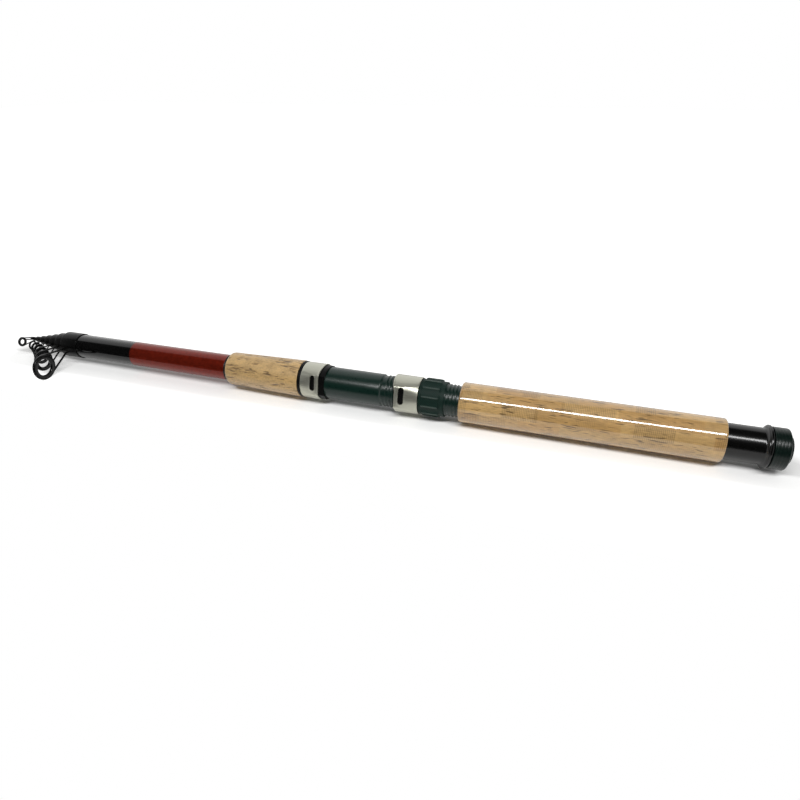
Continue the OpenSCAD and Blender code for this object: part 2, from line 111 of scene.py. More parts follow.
class RodSizes(bpy.types.PropertyGroup):
    """Sizes of the rod's details"""
    grip_edge: length_property("Grip edge", "Rounding of the rear grip's end edges", 0.0013)
    pit_depth: length_property("Pit depth", "Depth of the pits in the natural cork", 0.0003)
    seat_pitch: length_property(
        "Seat thread pitch", "Distance between two ridges of the reel seat's thread", 0.0025)
    seat_thread_depth: length_property("Seat thread depth", "Height of the reel seat's thread", 0.0010)
    cap_pitch: length_property(
        "Cap thread pitch", "Distance between two ridges of the butt cap's thread", 0.0015)
    nut_facets: IntProperty(
        name="Nut facets", description="Facets around the lock nut", default=12, min=6)
    cap_grooves: IntProperty(
        name="Cap grooves", description="Fine grooves around the butt cap", default=4, min=0)
    hood_sheet: length_property("Hood sheet", "Thickness of the hoods' steel sheet", 0.0007)
    thread_size: length_property(
        "Whipping thread", "Thickness of the thread in front of the fore grip", 0.00034)
    red_end: length_property(
        "Red ends at", "Distance from the butt at which the red lacquer ends", 0.4734)


class RodColours(bpy.types.PropertyGroup):
    """Colours of the rod's finishes"""
    cork: colour_property("Cork", "Ground colour of the lacquered cork", "#b5925b")
    natural_cork: colour_property("Natural cork", "Ground colour of the fore grip's cork", "#c4a168")
    red: colour_property("Red lacquer", "Rear part of the blank", "#752011")
    black: colour_property("Black lacquer", "Front part of the blank", "#0b0b0b")
    seat: colour_property("Reel seat", "Moulded plastic of the reel seat and its nut", "#04211a")
    steel: colour_property("Steel", "Sheet of the hoods", "#bcbcae")


class RodStage(bpy.types.PropertyGroup):
    """Light and floor around the rod"""
    lamp: FloatProperty(
        name="Strip lamp", description="Power of the long lamp over the grip, in watts",
        default=5.8, min=0)
    fill: FloatProperty(
        name="Fill", description="Even soft light from all sides", default=0.3, min=0)
    floor_white: colour_property("Floor", "Colour of the floor", "#f9f9f8")


# Helpers for nodes and meshes
def add(tree, kind, inputs=None, ramp=None, **settings):
    """Adds a node with its settings, its links or constants, and a ramp's (position, colour) steps. A node
    given as an input stands for its first output."""
    node = tree.nodes.new(kind)
    for key, value in settings.items():
        setattr(node, key, value)
    for key, value in (inputs or {}).items():
        if isinstance(value, bpy.types.Node):
            value = value.outputs[0]
        if isinstance(value, bpy.types.NodeSocket):
            tree.links.new(value, node.inputs[key])
        else:
            node.inputs[key].default_value = value
    if ramp:
        marks = node.color_ramp.elements
        for mark, (position, colour) in zip(marks, (ramp[0], ramp[-1])):
            mark.position = position
            mark.color = (*colour, 1)
        for position, colour in ramp[1:-1]:
            marks.new(position).color = (*colour, 1)
    return node


def eased(corners, steps=6):
    """Outline through corners (s, r) or (s, r, rounding), with the rounded ones eased."""
    outline = []
    count = len(corners)
    for i, corner in enumerate(corners):
        here = Vector(corner[:2])
        if len(corner) < 3:
            outline.append(here)
            continue
        before = Vector(corners[i - 1][:2]) - here
        after = Vector(corners[(i + 1) % count][:2]) - here
        start = here + before.normalized() * min(corner[2], before.length * 0.5)
        end = here + after.normalized() * min(corner[2], after.length * 0.5)
        for k in range(steps + 1):
            t = k / steps
            outline.append(start.lerp(here, t).lerp(here.lerp(end, t), t))
    return outline


def divided(outline, step, closed=True):
    """Outline with its long stretches cut into pieces no longer than step."""
    cut = []
    last = len(outline) if closed else len(outline) - 1
    for i in range(last):
        a = outline[i]
        b = outline[(i + 1) % len(outline)]
        parts = max(1, math.ceil((b - a).length / step))
        cut.extend(a.lerp(b, k / parts) for k in range(parts))
    if not closed:
        cut.append(outline[-1])
    return cut


def both_sides(plane, corners):
    """Outline that is alike on both sides of a plane, from corners (distance to it, r, rounding)."""
    rear = [(plane - off, *rest) for off, *rest in corners]
    return rear + [(plane + off, *rest) for off, *rest in reversed(corners)]


def from_mesh(name, mesh, finish, sharp=40):
    """Object of a finished mesh, smooth but for edges sharper than the angle in degrees."""
    mesh.name = name
    mesh.materials.clear()
    mesh.materials.append(finish)
    mesh.polygons.foreach_set("use_smooth", [True] * len(mesh.polygons))
    mesh.polygons.foreach_set("material_index", [0] * len(mesh.polygons))
    mesh.set_sharp_from_angle(angle=math.radians(sharp))
    piece = bpy.data.objects.new(name, mesh)
    bpy.context.scene.collection.objects.link(piece)
    return piece


def settled(work, name, finish, sharp=40):
    """Merges doubles, turns faces outwards, and makes the piece in metres."""
    bmesh.ops.remove_doubles(work, verts=work.verts, dist=1e-4)
    bmesh.ops.dissolve_degenerate(work, edges=work.edges, dist=1e-5)
    bmesh.ops.recalc_face_normals(work, faces=work.faces)
    work.transform(Matrix.Scale(MM, 4))
    mesh = bpy.data.meshes.new(name)
    work.to_mesh(mesh)
    work.free()
    return from_mesh(name, mesh, finish, sharp)


def skinned(rows, closed_columns=True, wrap=None):
    """Mesh over a ring of rows of points; wrap gives a point's place in a UV map in millimetres."""
    work = bmesh.new()
    layer = work.loops.layers.uv.new("wrap")
    grid = [[work.verts.new(point) for point in row] for row in rows]
    high = len(rows)
    wide = len(rows[0])
    for i in range(high):
        for j in range(wide if closed_columns else wide - 1):
            corners = [(i, j), (i + 1, j), (i + 1, j + 1), (i, j + 1)]
            face = work.faces.new([grid[a % high][b % wide] for a, b in corners])
            if wrap:
                for loop, (a, b) in zip(face.loops, corners):
                    loop[layer].uv = wrap(a, b % wide)
    return work


def turned(name, outline, finish, around=96, centre=(0, 0), closed=True, sharp=40, shape=None):
    """Turned piece: an outline of (s, r) spun about the rod, or about a line beside it."""
    reach = max(r for s, r in outline)
    rows = []
    for k in range(around):
        turn = TAU * k / around
        row = [Vector((-s, centre[0] + r * math.cos(turn), centre[1] + r * math.sin(turn)))
               for s, r in outline]
        rows.append([shape(point) for point in row] if shape else row)
    work = skinned(rows, closed, lambda a, b: (outline[b][0], TAU * reach * a / around))
    return settled(work, name, finish, sharp)


def carried(piece, body, slot, *nodes):
    """Rides the piece on its body and hides the CAD nodes that it stands for; the slot is not used."""
    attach(piece, body)
    if nodes:
        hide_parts(*nodes)


def joined(name, pieces, finish, sharp=40):
    """One piece made of several meshes."""
    work = bmesh.new()
    for piece in pieces:
        mesh = piece.data
        work.from_mesh(mesh)
        bpy.data.objects.remove(piece)
        bpy.data.meshes.remove(mesh)
    mesh = bpy.data.meshes.new(name)
    work.to_mesh(mesh)
    work.free()
    return from_mesh(name, mesh, finish, sharp)


def carved(piece, cutter, finish, sharp=40):
    """The piece with the cutter taken out of it; the cutter goes."""
    name = piece.name
    size = piece.dimensions.copy()
    cut = piece.modifiers.new("cut", "BOOLEAN")
    cut.operation = "DIFFERENCE"
    cut.solver = "EXACT"
    cut.object = cutter
    bpy.context.view_layer.update()
    drawn = piece.evaluated_get(bpy.context.evaluated_depsgraph_get())
    mesh = bpy.data.meshes.new_from_object(drawn)
    bpy.data.objects.remove(cutter)
    bpy.data.objects.remove(piece)
    made = from_mesh(name, mesh, finish, sharp)
    if (made.dimensions - size).length > MM:
        raise RuntimeError("The cut failed on " + name)
    return made


# Geometry Nodes trees
def node_tree(name, sockets):
    """A new geometry tree with inputs of the given names and kinds; gives the tree and its inputs."""
    tree = bpy.data.node_groups.new(name, "GeometryNodeTree")
    for label, kind in sockets.items():
        tree.interface.new_socket(label, in_out="INPUT", socket_type="NodeSocket" + kind)
    tree.interface.new_socket("Geometry", in_out="OUTPUT", socket_type="NodeSocketGeometry")
    return tree, add(tree, "NodeGroupInput").outputs


def laid(tree, geometry, start):
    """Lays what was drawn along Z down along the rod, towards the tip from its start."""
    return add(tree, "GeometryNodeTransform", {
        "Geometry": geometry, "Translation": start, "Rotation": (0, -math.pi / 2, 0)})


def end_share(tree):
    """Share of a curve's length between a point and the nearer end of the curve."""
    share = add(tree, "GeometryNodeSplineParameter").outputs["Factor"]
    back = add(tree, "ShaderNodeMath", {0: 1.0, 1: share}, operation="SUBTRACT")
    return add(tree, "ShaderNodeMath", {0: share, 1: back}, operation="MINIMUM")


def round_sweep(tree, curve, thickness, sides, scale=1.0):
    """Round bar of the given thickness along a curve, with closed ends."""
    wide = add(tree, "ShaderNodeMath", {0: thickness, 1: 0.5}, operation="MULTIPLY")
    profile = add(tree, "GeometryNodeCurvePrimitiveCircle", {"Resolution": sides, "Radius": wide})
    return add(tree, "GeometryNodeCurveToMesh", {
        "Curve": curve, "Profile Curve": profile, "Scale": scale, "Fill Caps": True})


def tree_end(tree, geometry, finish):
    """Ends a tree: real mesh, smooth, with its material."""
    real = add(tree, "GeometryNodeRealizeInstances", {"Geometry": geometry})
    smooth = add(tree, "GeometryNodeSetShadeSmooth", {"Geometry": real})
    coat = add(tree, "GeometryNodeSetMaterial", {"Geometry": smooth, "Material": finish})
    add(tree, "NodeGroupOutput", {"Geometry": coat})
    return tree


def grown(name, tree, values, finish, source=None):
    """Runs a geometry tree with the named values and keeps the result as a plain mesh."""
    seed = bpy.data.objects.new(name, source or bpy.data.meshes.new(name))
    bpy.context.scene.collection.objects.link(seed)
    shaping = seed.modifiers.new("shape", "NODES")
    shaping.node_group = tree
    given = {**values, "Finish": finish}
    for item in tree.interface.items_tree:
        if item.in_out == "INPUT" and item.name in given:
            shaping[item.identifier] = given[item.name]
    bpy.context.view_layer.update()
    drawn = seed.evaluated_get(bpy.context.evaluated_depsgraph_get())
    mesh = bpy.data.meshes.new_from_object(drawn)
    seed.modifiers.clear()
    bpy.data.objects.remove(seed)
    work = bmesh.new()
    work.from_mesh(mesh)
    bpy.data.meshes.remove(mesh)
    if not work.faces:
        raise RuntimeError(f"{name} came out empty")
    work.transform(Matrix.Scale(1 / MM, 4))
    return settled(work, name, finish)


def thread_tree():
    """Screw ridge that winds along the rod, sinks away at both ends and keeps off the flat."""
    tree, given = node_tree("screw_thread", {
        "Radius": "Float", "Length": "Float", "Turns": "Float", "Depth": "Float", "Foot": "Float",
        "Crest": "Float", "Start": "Vector", "Side": "Vector", "Flat": "Float", "Finish": "Material"})
    helix = add(tree, "GeometryNodeCurveSpiral", {
        "Resolution": 64, "Rotations": given["Turns"], "Start Radius": given["Radius"],
        "End Radius": given["Radius"], "Height": given["Length"], "Reverse": True})
    upright = add(tree, "GeometryNodeSetCurveNormal", {"Curve": helix}, mode="Z_UP")
    # The ridge rises over half a turn at each end
    turns = add(tree, "ShaderNodeMath", {0: end_share(tree), 1: given["Turns"]}, operation="MULTIPLY")
    rise = add(tree, "ShaderNodeMapRange", {
        "Value": turns, "From Max": 0.5, "To Min": 0.05}, interpolation_type="SMOOTHSTEP")
    # A quarter of its depth more stands in the barrel
    tall = add(tree, "ShaderNodeMath", {0: given["Depth"], 1: 1.25}, operation="MULTIPLY")
    lift = add(tree, "ShaderNodeMath", {0: given["Depth"], 1: 0.375}, operation="MULTIPLY")
    soft = add(tree, "ShaderNodeMath", {0: given["Depth"], 1: 0.3}, operation="MULTIPLY")
    ridge = add(tree, "GeometryNodeCurvePrimitiveQuadrilateral", {
        "Height": tall, "Bottom Width": given["Foot"], "Top Width": given["Crest"], "Offset": 0.0},
        mode="TRAPEZOID")
    shift = add(tree, "ShaderNodeCombineXYZ", {"Y": lift})
    raised = add(tree, "GeometryNodeTransform", {"Geometry": ridge, "Translation": shift})
    rounded = add(tree, "GeometryNodeFilletCurve", {"Curve": raised, "Radius": soft, "Count": 3}, mode="POLY")
    swept = add(tree, "GeometryNodeCurveToMesh", {
        "Curve": upright, "Profile Curve": rounded, "Scale": rise, "Fill Caps": True})
    wound = laid(tree, swept, given["Start"])
    # What reaches past the flat is drawn back to it
    spot = add(tree, "GeometryNodeInputPosition")
    down = add(tree, "ShaderNodeVectorMath", {0: spot, 1: given["Side"]}, operation="DOT_PRODUCT")
    past = add(tree, "ShaderNodeMath", {0: given["Flat"], 1: down.outputs["Value"]}, operation="SUBTRACT")
    pull = add(tree, "ShaderNodeMath", {0: past, 1: 0.0}, operation="MINIMUM")
    move = add(tree, "ShaderNodeVectorMath", {0: given["Side"], "Scale": pull}, operation="SCALE")
    kept = add(tree, "GeometryNodeSetPosition", {"Geometry": wound, "Offset": move})
    return tree_end(tree, kept, given["Finish"])


def rib_tree():
    """Round-topped ribs that stand in a ring about the rod and run along it."""
    tree, given = node_tree("ribs_around", {
        "Count": "Int", "Radius": "Float", "Length": "Float", "Thickness": "Float", "Middle": "Vector",
        "Turn": "Float", "Finish": "Material"})
    half = add(tree, "ShaderNodeMath", {0: given["Length"], 1: 0.5}, operation="MULTIPLY")
    top = add(tree, "ShaderNodeCombineXYZ", {"Z": half})
    bottom = add(tree, "ShaderNodeVectorMath", {0: top, "Scale": -1.0}, operation="SCALE")
    spine = add(tree, "GeometryNodeCurvePrimitiveLine", {"Start": bottom, "End": top})
    fine = add(tree, "GeometryNodeResampleCurve", {"Curve": spine, "Count": 15})
    rise = add(tree, "ShaderNodeMapRange", {
        "Value": end_share(tree), "From Max": 0.12, "To Min": 0.25}, interpolation_type="SMOOTHSTEP")
    rib = round_sweep(tree, fine, given["Thickness"], 10, rise)
    ring = add(tree, "GeometryNodeMeshCircle", {"Vertices": given["Count"], "Radius": given["Radius"]})
    stood = add(tree, "GeometryNodeInstanceOnPoints", {"Points": ring, "Instance": rib})
    spin = add(tree, "ShaderNodeCombineXYZ", {"Z": given["Turn"]})
    spun = add(tree, "GeometryNodeTransform", {"Geometry": stood, "Rotation": spin})
    return tree_end(tree, laid(tree, spun, given["Middle"]), given["Finish"])


def wire_tree():
    """Round wire along a drawn path."""
    tree, given = node_tree("wire_along", {
        "Geometry": "Geometry", "Thickness": "Float", "Sides": "Int", "Finish": "Material"})
    wire = round_sweep(tree, given["Geometry"], given["Thickness"], given["Sides"])
    return tree_end(tree, wire, given["Finish"])


def winding_tree():
    """Thread wound closely on a taper, turn beside turn."""
    tree, given = node_tree("thread_winding", {
        "First radius": "Float", "Last radius": "Float", "Length": "Float", "Turns": "Float",
        "Thickness": "Float", "Start": "Vector", "Finish": "Material"})
    helix = add(tree, "GeometryNodeCurveSpiral", {
        "Resolution": 72, "Rotations": given["Turns"], "Start Radius": given["First radius"],
        "End Radius": given["Last radius"], "Height": given["Length"], "Reverse": False})
    thread = round_sweep(tree, helix, given["Thickness"], 8)
    return tree_end(tree, laid(tree, thread, given["Start"]), given["Finish"])


def path(points):
    """Open path through points in millimetres, for the wire tree."""
    curve = bpy.data.curves.new("path", "CURVE")
    curve.dimensions = "3D"
    spline = curve.splines.new("POLY")
    spline.points.add(len(points) - 1)
    for spot, point in zip(spline.points, points):
        spot.co = (*(Vector(point) * MM), 1)
    return curve


# Finishes
def finish(name):
    """The named finish, made the first time that it is asked for."""
    return bpy.data.materials.get(name) or FINISHES[name](name)


def material(name):
    """A new material, its node tree and the piece's own coordinates."""
    made = bpy.data.materials.new(name)
    made.use_nodes = True
    tree = made.node_tree
    tree.nodes.clear()
    return made, tree, add(tree, "ShaderNodeTexCoord").outputs["Object"]


def surfaced(made, inputs):
    """Ends a material with a surface that has the given links and constants."""
    shader = add(made.node_tree, "ShaderNodeBsdfPrincipled", inputs)
    add(made.node_tree, "ShaderNodeOutputMaterial", {"Surface": shader})
    return made


def drawn_out(tree, place, long, wide):
    """Coordinates in which a pattern of size 1 is so long along the rod and so wide, in millimetres."""
    return add(tree, "ShaderNodeMapping", {
        "Vector": place, "Scale": (1 / MM / long, 1 / MM / wide, 1 / MM / wide)})


def lacquered_cork(name):
    """Cork sheet under clear gloss lacquer: blocks of sheet of their own tone, bundles of fine lines across
    the grip and dark dashes along it, all under one clear coat that runs in slow waves."""
    made, tree, place = material(name)
    ground = bpy.context.scene.rod_colours.cork
    sheet = add(tree, "ShaderNodeUVMap", uv_map="wrap")
    # Blocks of sheet 27 mm long, in ten rows around the grip
    row = 8.796
    block = add(tree, "ShaderNodeTexBrick", {
        "Vector": sheet, "Color1": (0, 0, 0, 1), "Color2": (1, 1, 1, 1), "Mortar": (0.5, 0.5, 0.5, 1),
        "Scale": 1.0, "Mortar Size": 0.0, "Brick Width": 27.0, "Row Height": row},
        offset=0.37, offset_frequency=2, squash=0.62, squash_frequency=3)
    tone = add(tree, "ShaderNodeValToRGB", {"Fac": block}, ramp=(
        (0, tinted(ground, 0.86, 0.78, 0.66)), (0.3, tinted(ground, 1.0, 0.93, 0.82)),
        (0.62, ground), (1, tinted(ground, 1.22))))
    # Clouds of tone 16 mm long and 5 mm wide, and grain 4 mm long and 0.9 mm wide
    long_place = drawn_out(tree, place, 16, 5)
    cloud = add(tree, "ShaderNodeTexNoise", {"Vector": long_place, "Scale": 1.0, "Detail": 4.0})
    lighter = add(tree, "ShaderNodeMapRange", {
        "Value": cloud, "From Min": 0.3, "From Max": 0.7, "To Min": 0.93, "To Max": 1.13})
    grain = add(tree, "ShaderNodeTexNoise", {
        "Vector": drawn_out(tree, place, 4, 0.9), "Scale": 1.0, "Detail": 3.0})
    grained = add(tree, "ShaderNodeMapRange", {
        "Value": grain, "From Min": 0.3, "From Max": 0.7, "To Min": 0.84, "To Max": 1.18})
    # Bundles of lines on some blocks 17 mm long; they are 1.1 mm apart, coarser than the real 0.7 mm so
    # that they show
    bundle = add(tree, "ShaderNodeTexBrick", {
        "Vector": sheet, "Color1": (0, 0, 0, 1), "Color2": (1, 1, 1, 1), "Mortar": (0, 0, 0, 1),
        "Scale": 1.0, "Mortar Size": 0.0, "Brick Width": 17.0, "Row Height": row},
        offset=0.43, squash=0.7, squash_frequency=2)
    chosen = add(tree, "ShaderNodeMapRange", {
        "Value": bundle, "From Min": 0.55, "From Max": 0.8, "To Min": 0.06, "To Max": 0.36})
    across = add(tree, "ShaderNodeTexWave", {
        "Vector": sheet, "Scale": 0.285, "Distortion": 1.4, "Detail": 2.0, "Detail Scale": 0.4},
        bands_direction="X")
    along = add(tree, "ShaderNodeTexWave", {
        "Vector": sheet, "Scale": 0.25, "Distortion": 1.6, "Detail": 2.0}, bands_direction="Y")
    grid = add(tree, "ShaderNodeMath", {0: along.outputs["Fac"], 1: 0.35, 2: across.outputs["Fac"]},
               operation="MULTIPLY_ADD")
    lines = add(tree, "ShaderNodeMath", {0: grid, 1: chosen}, operation="MULTIPLY")
    lined = add(tree, "ShaderNodeMath", {0: 1.06, 1: lines}, operation="SUBTRACT")
    clouded = add(tree, "ShaderNodeMath", {0: lighter, 1: grained}, operation="MULTIPLY")
    shade = add(tree, "ShaderNodeMath", {0: clouded, 1: lined}, operation="MULTIPLY")
    shaded = add(tree, "ShaderNodeVectorMath", {0: tone, "Scale": shade}, operation="SCALE")
    # Dark dashes 8 mm long and 0.9 mm wide, in clusters
    dash = add(tree, "ShaderNodeTexNoise", {
        "Vector": drawn_out(tree, place, 8, 0.9), "Scale": 1.0, "Detail": 1.0})
    cluster = add(tree, "ShaderNodeTexNoise", {"Vector": long_place, "Scale": 0.8, "Detail": 1.0})
    gathered = add(tree, "ShaderNodeMapRange", {
        "Value": cluster, "From Min": 0.35, "From Max": 0.65, "To Min": 0.4, "To Max": 0.54})
    both = add(tree, "ShaderNodeMath", {0: dash, 1: gathered}, operation="ADD")
    dark = add(tree, "ShaderNodeMapRange", {
        "Value": both, "From Min": 1.1, "From Max": 1.17, "To Max": 0.8})
    marked = add(tree, "ShaderNodeMix", {0: dark, 6: shaded, 7: (*linear("#4c3817"), 1)}, data_type="RGBA")
    rough = add(tree, "ShaderNodeBump", {"Height": dark, "Strength": 0.2, "Distance": 0.0001}, invert=True)
    # Waves of the lacquer 3 mm long
    wave = add(tree, "ShaderNodeTexNoise", {"Vector": place, "Scale": 1 / MM / 3, "Detail": 1.0})
    run = add(tree, "ShaderNodeBump", {"Height": wave, "Strength": 0.12, "Distance": 0.0001})
    return surfaced(made, {
        "Base Color": marked.outputs[2], "Roughness": 0.6, "Normal": rough, "Coat Weight": 1.0,
        "Coat Roughness": 0.03, "Coat IOR": 1.75, "Coat Normal": run})


def natural_cork(name):
    """Sanded cork rubbed with wax: matt, warm and uneven, with pale rims, and dark pits and streaks
    that run along the grip."""
    made, tree, place = material(name)
    ground = bpy.context.scene.rod_colours.natural_cork
    pit = add(tree, "ShaderNodeAttribute", attribute_name="pit").outputs["Fac"]
    # Lenticel clouds 9 mm long and 3 mm wide
    cloud = add(tree, "ShaderNodeTexNoise", {
        "Vector": drawn_out(tree, place, 9, 3), "Scale": 1.0, "Detail": 5.0, "Roughness": 0.6})
    tone = add(tree, "ShaderNodeValToRGB", {"Fac": cloud}, ramp=(
        (0.3, tinted(ground, 0.74, 0.70, 0.64)), (0.5, ground), (0.72, tinted(ground, 1.18, 1.16, 1.12))))
    # Grain of 1.2 mm
    fine = add(tree, "ShaderNodeTexNoise", {"Vector": place, "Scale": 1 / MM / 1.2, "Detail": 3.0})
    dots = add(tree, "ShaderNodeMapRange", {
        "Value": fine, "From Min": 0.3, "From Max": 0.75, "To Min": 1.1, "To Max": 0.82})
    speckled = add(tree, "ShaderNodeVectorMath", {0: tone, "Scale": dots}, operation="SCALE")
    # Round each pit the cork is painted browner, and darker towards the pit's floor
    pit_rim_share = add(tree, "ShaderNodeMapRange", {"Value": pit, "From Max": 0.55, "To Max": 0.55})
    browned = add(tree, "ShaderNodeMix", {
        0: pit_rim_share, 6: speckled, 7: (*linear("#7a5a2a"), 1)}, data_type="RGBA")
    deep = add(tree, "ShaderNodeMapRange", {"Value": pit, "From Min": 0.5, "To Max": 0.85})
    marked = add(tree, "ShaderNodeMix", {
        0: deep, 6: browned.outputs[2], 7: (*linear("#5a4420"), 1)}, data_type="RGBA")
    grain = add(tree, "ShaderNodeBump", {"Height": fine, "Strength": 0.25, "Distance": 0.0002})
    return surfaced(made, {
        "Base Color": marked.outputs[2], "Roughness": 0.6, "Normal": grain, "Sheen Weight": 0.5,
        "Sheen Roughness": 0.35, "Coat Weight": 1.0, "Coat Roughness": 0.45})


def blank_lacquer(name):
    """Sprayed lacquer on a wound glass-fibre tube: deep red at the rear, black at the front, both with metal
    flake and a faint spray mottle under a clear gloss coat, which is thinner on the red."""
    made, tree, place = material(name)
    colours = bpy.context.scene.rod_colours
    x = add(tree, "ShaderNodeSeparateXYZ", {"Vector": place}).outputs["X"]
    # The border is sprayed over 1.5 mm
    end = -bpy.context.scene.rod_sizes.red_end
    side = add(tree, "ShaderNodeMapRange", {"Value": x, "From Min": end - 0.00075, "From Max": end + 0.00075})
    both = add(tree, "ShaderNodeMix", {
        0: side, 6: (*colours.black, 1), 7: (*colours.red, 1)}, data_type="RGBA")
    # Spray mottle of 2.5 mm
    mottle = add(tree, "ShaderNodeTexNoise", {"Vector": place, "Scale": 1 / MM / 2.5, "Detail": 3.0})
    tone = add(tree, "ShaderNodeMapRange", {
        "Value": mottle, "From Min": 0.3, "From Max": 0.7, "To Min": 0.85, "To Max": 1.2})
    toned = add(tree, "ShaderNodeVectorMath", {0: both.outputs[2], "Scale": tone}, operation="SCALE")
    dull = add(tree, "ShaderNodeMapRange", {"Value": mottle, "To Min": 0.28, "To Max": 0.42})
    coat = add(tree, "ShaderNodeMapRange", {"Value": side, "To Min": 0.9, "To Max": 0.55})
    return surfaced(made, {
        "Base Color": toned, "Metallic": 0.6, "Roughness": dull, "Specular IOR Level": 0.0,
        "Coat Weight": coat, "Coat Roughness": 0.06})


def section_lacquer(name):
    """Thin dark lacquer over wound glass fibre: nearly black, with faint rings of the winding tape."""
    made, tree, place = material(name)
    # Tape rings 3 mm apart; a wave texture of scale 1 repeats every 0.314
    rings = add(tree, "ShaderNodeTexWave", {
        "Vector": place, "Scale": 0.314 / 0.003, "Distortion": 0.6, "Detail": 1.0},
        bands_direction="X").outputs["Fac"]
    tone = add(tree, "ShaderNodeValToRGB", {"Fac": rings}, ramp=(
        (0, linear("#101112")), (1, linear("#1b1d1f"))))
    ridge = add(tree, "ShaderNodeBump", {"Height": rings, "Strength": 0.15, "Distance": 0.0001})
    return surfaced(made, {"Base Color": tone, "Roughness": 0.3, "Normal": ridge})


def moulded(name, low, high, rough, peel, bump, shine=0.5, marks=None):
    """Plain dark finish: a slightly uneven ground from low to high, a range of roughness, and the fine skin
    of the mould or coat, with a grain of so many millimetres. Marks draws on the ground."""
    made, tree, place = material(name)
    grain = add(tree, "ShaderNodeTexNoise", {"Vector": place, "Scale": 1 / MM / peel, "Detail": 4.0})
    ground = add(tree, "ShaderNodeValToRGB", {"Fac": grain}, ramp=((0.3, low), (0.7, high))).outputs["Color"]
    dull = add(tree, "ShaderNodeMapRange", {
        "Value": grain, "From Min": 0.3, "From Max": 0.7, "To Min": rough[0], "To Max": rough[1]})
    # Faces that are gripped carry a matt share
    matt = add(tree, "ShaderNodeAttribute", attribute_name="matt").outputs["Fac"]
    worn = add(tree, "ShaderNodeMath", {0: matt, 1: 0.27, 2: dull}, operation="MULTIPLY_ADD")
    skin = add(tree, "ShaderNodeBump", {"Height": grain, "Strength": bump, "Distance": 0.0001})
    return surfaced(made, {
        "Base Color": marks(tree, place, ground, matt) if marks else ground, "Roughness": worn,
        "Normal": skin, "Specular IOR Level": shine})


def seat_abs(name):
    """Dark green moulded ABS: satin, with a broad soft highlight."""
    green = bpy.context.scene.rod_colours.seat
    return moulded(name, tinted(green, 0.85), tinted(green, 1.15), (0.27, 0.33), 1.5, 0.012)


def nut_abs(name):
    """Dark green ABS with a lined skin: darker and duller than the seat, with a painted highlight that makes
    the ribs paler.
    """
    def lined_with_painted_highlight(tree, place, ground, matt):
        # Slanting lines 1.1 mm apart
        lines = add(tree, "ShaderNodeTexWave", {"Vector": place, "Scale": 330.0, "Distortion": 1.0},
                    bands_direction="DIAGONAL")
        tone = add(tree, "ShaderNodeMapRange", {"Value": lines.outputs["Fac"], "To Min": 0.6, "To Max": 1.5})
        lined = add(tree, "ShaderNodeVectorMath", {0: ground, "Scale": tone}, operation="SCALE")
        # Painted highlight: where the matt share is low, a paler green-grey is mixed in, fully on the ribs
        # and faintly on the rims
        painted_rib_highlight = add(tree, "ShaderNodeMix", {0: matt, 6: (*linear("#3a4842"), 1), 7: lined}, data_type="RGBA")
        return painted_rib_highlight.outputs[2]

    green = bpy.context.scene.rod_colours.seat
    return moulded(name, tinted(green, 0.8), tinted(green, 1.1), (0.27, 0.33), 1.5, 0.012, 0.22, lined_with_painted_highlight)


def cushion_plastic(name):
    """Black moulded polyethylene: soft, a little duller than the seat."""
    return moulded(name, linear("#020202"), linear("#050505"), (0.4, 0.5), 1, 0.03, 0.15)


def cap_abs(name):
    """Green-black moulded ABS: almost black, satin, with a green cast in the shade."""
    return moulded(name, linear("#03100c"), linear("#061813"), (0.28, 0.33), 1.5, 0.005, 0.32)


def gloss_black(name):
    """Black moulded ABS polished by its mould: a clear, slightly soft mirror."""
    return moulded(name, linear("#030303"), linear("#070706"), (0.185, 0.2), 2, 0.0015)


def guide_coat(name):
    """Black baked coating on wire and ferrules: smooth, half gloss."""
    return moulded(name, linear("#030303"), linear("#070707"), (0.26, 0.34), 1, 0.02, 0.2)


def ring_ceramic(name):
    """Dark polished ceramic: grey-black and glassy."""
    return moulded(name, linear("#070708"), linear("#0d0d0e"), (0.12, 0.18), 1.5, 0.01, 0.35)


def whipping_thread(name):
    """Black nylon thread under a thin varnish."""
    return moulded(name, linear("#0b0a0a"), linear("#1a1817"), (0.3, 0.45), 0.5, 0.1)


def soft_rubber(name):
    """Black rubber: matt and faintly dusty."""
    return moulded(name, linear("#131313"), linear("#242424"), (0.7, 0.85), 0.8, 0.25)


def satin_steel(name):
    """Stainless sheet with a satin roll finish: bright, with fine streaks along the roll."""
    made, tree, place = material(name)
    steel = bpy.context.scene.rod_colours.steel
    # Roll streaks 12 mm long and 0.35 mm wide
    streak = add(tree, "ShaderNodeTexNoise", {
        "Vector": drawn_out(tree, place, 12, 0.35), "Scale": 1.0, "Detail": 3.0})
    tone = add(tree, "ShaderNodeValToRGB", {"Fac": streak}, ramp=(
        (0.3, tinted(steel, 0.94)), (0.7, tinted(steel, 1.04))))
    dull = add(tree, "ShaderNodeMapRange", {
        "Value": streak, "From Min": 0.3, "From Max": 0.7, "To Min": 0.32, "To Max": 0.37})
    return surfaced(made, {"Base Color": tone, "Metallic": 0.8, "Roughness": dull})


FINISHES = {
    "Lacquered cork sheet": lacquered_cork,
    "Natural sanded cork": natural_cork,
    "Red and black rod lacquer": blank_lacquer,
    "Dark section lacquer": section_lacquer,
    "Dark green moulded ABS": seat_abs,
    "Dark green grained ABS": nut_abs,
    "Black moulded polyethylene": cushion_plastic,
    "Green-black moulded ABS": cap_abs,
    "Black polished ABS": gloss_black,
    "Black baked wire coating": guide_coat,
    "Dark polished ceramic": ring_ceramic,
    "Black whipping thread": whipping_thread,
    "Black rubber": soft_rubber,
    "Satin stainless sheet": satin_steel,
}


# Butt section and grips
BLANK_BUTT_R = 10.7
BLANK_MOUTH_R = 9.5
BLANK_WALL = 1.5
GLUE = 0.05
# Length and radius of the rear grip's seat on the butt sleeve
GRIP_LAP = 13.05
GRIP_LAP_R = 11.55
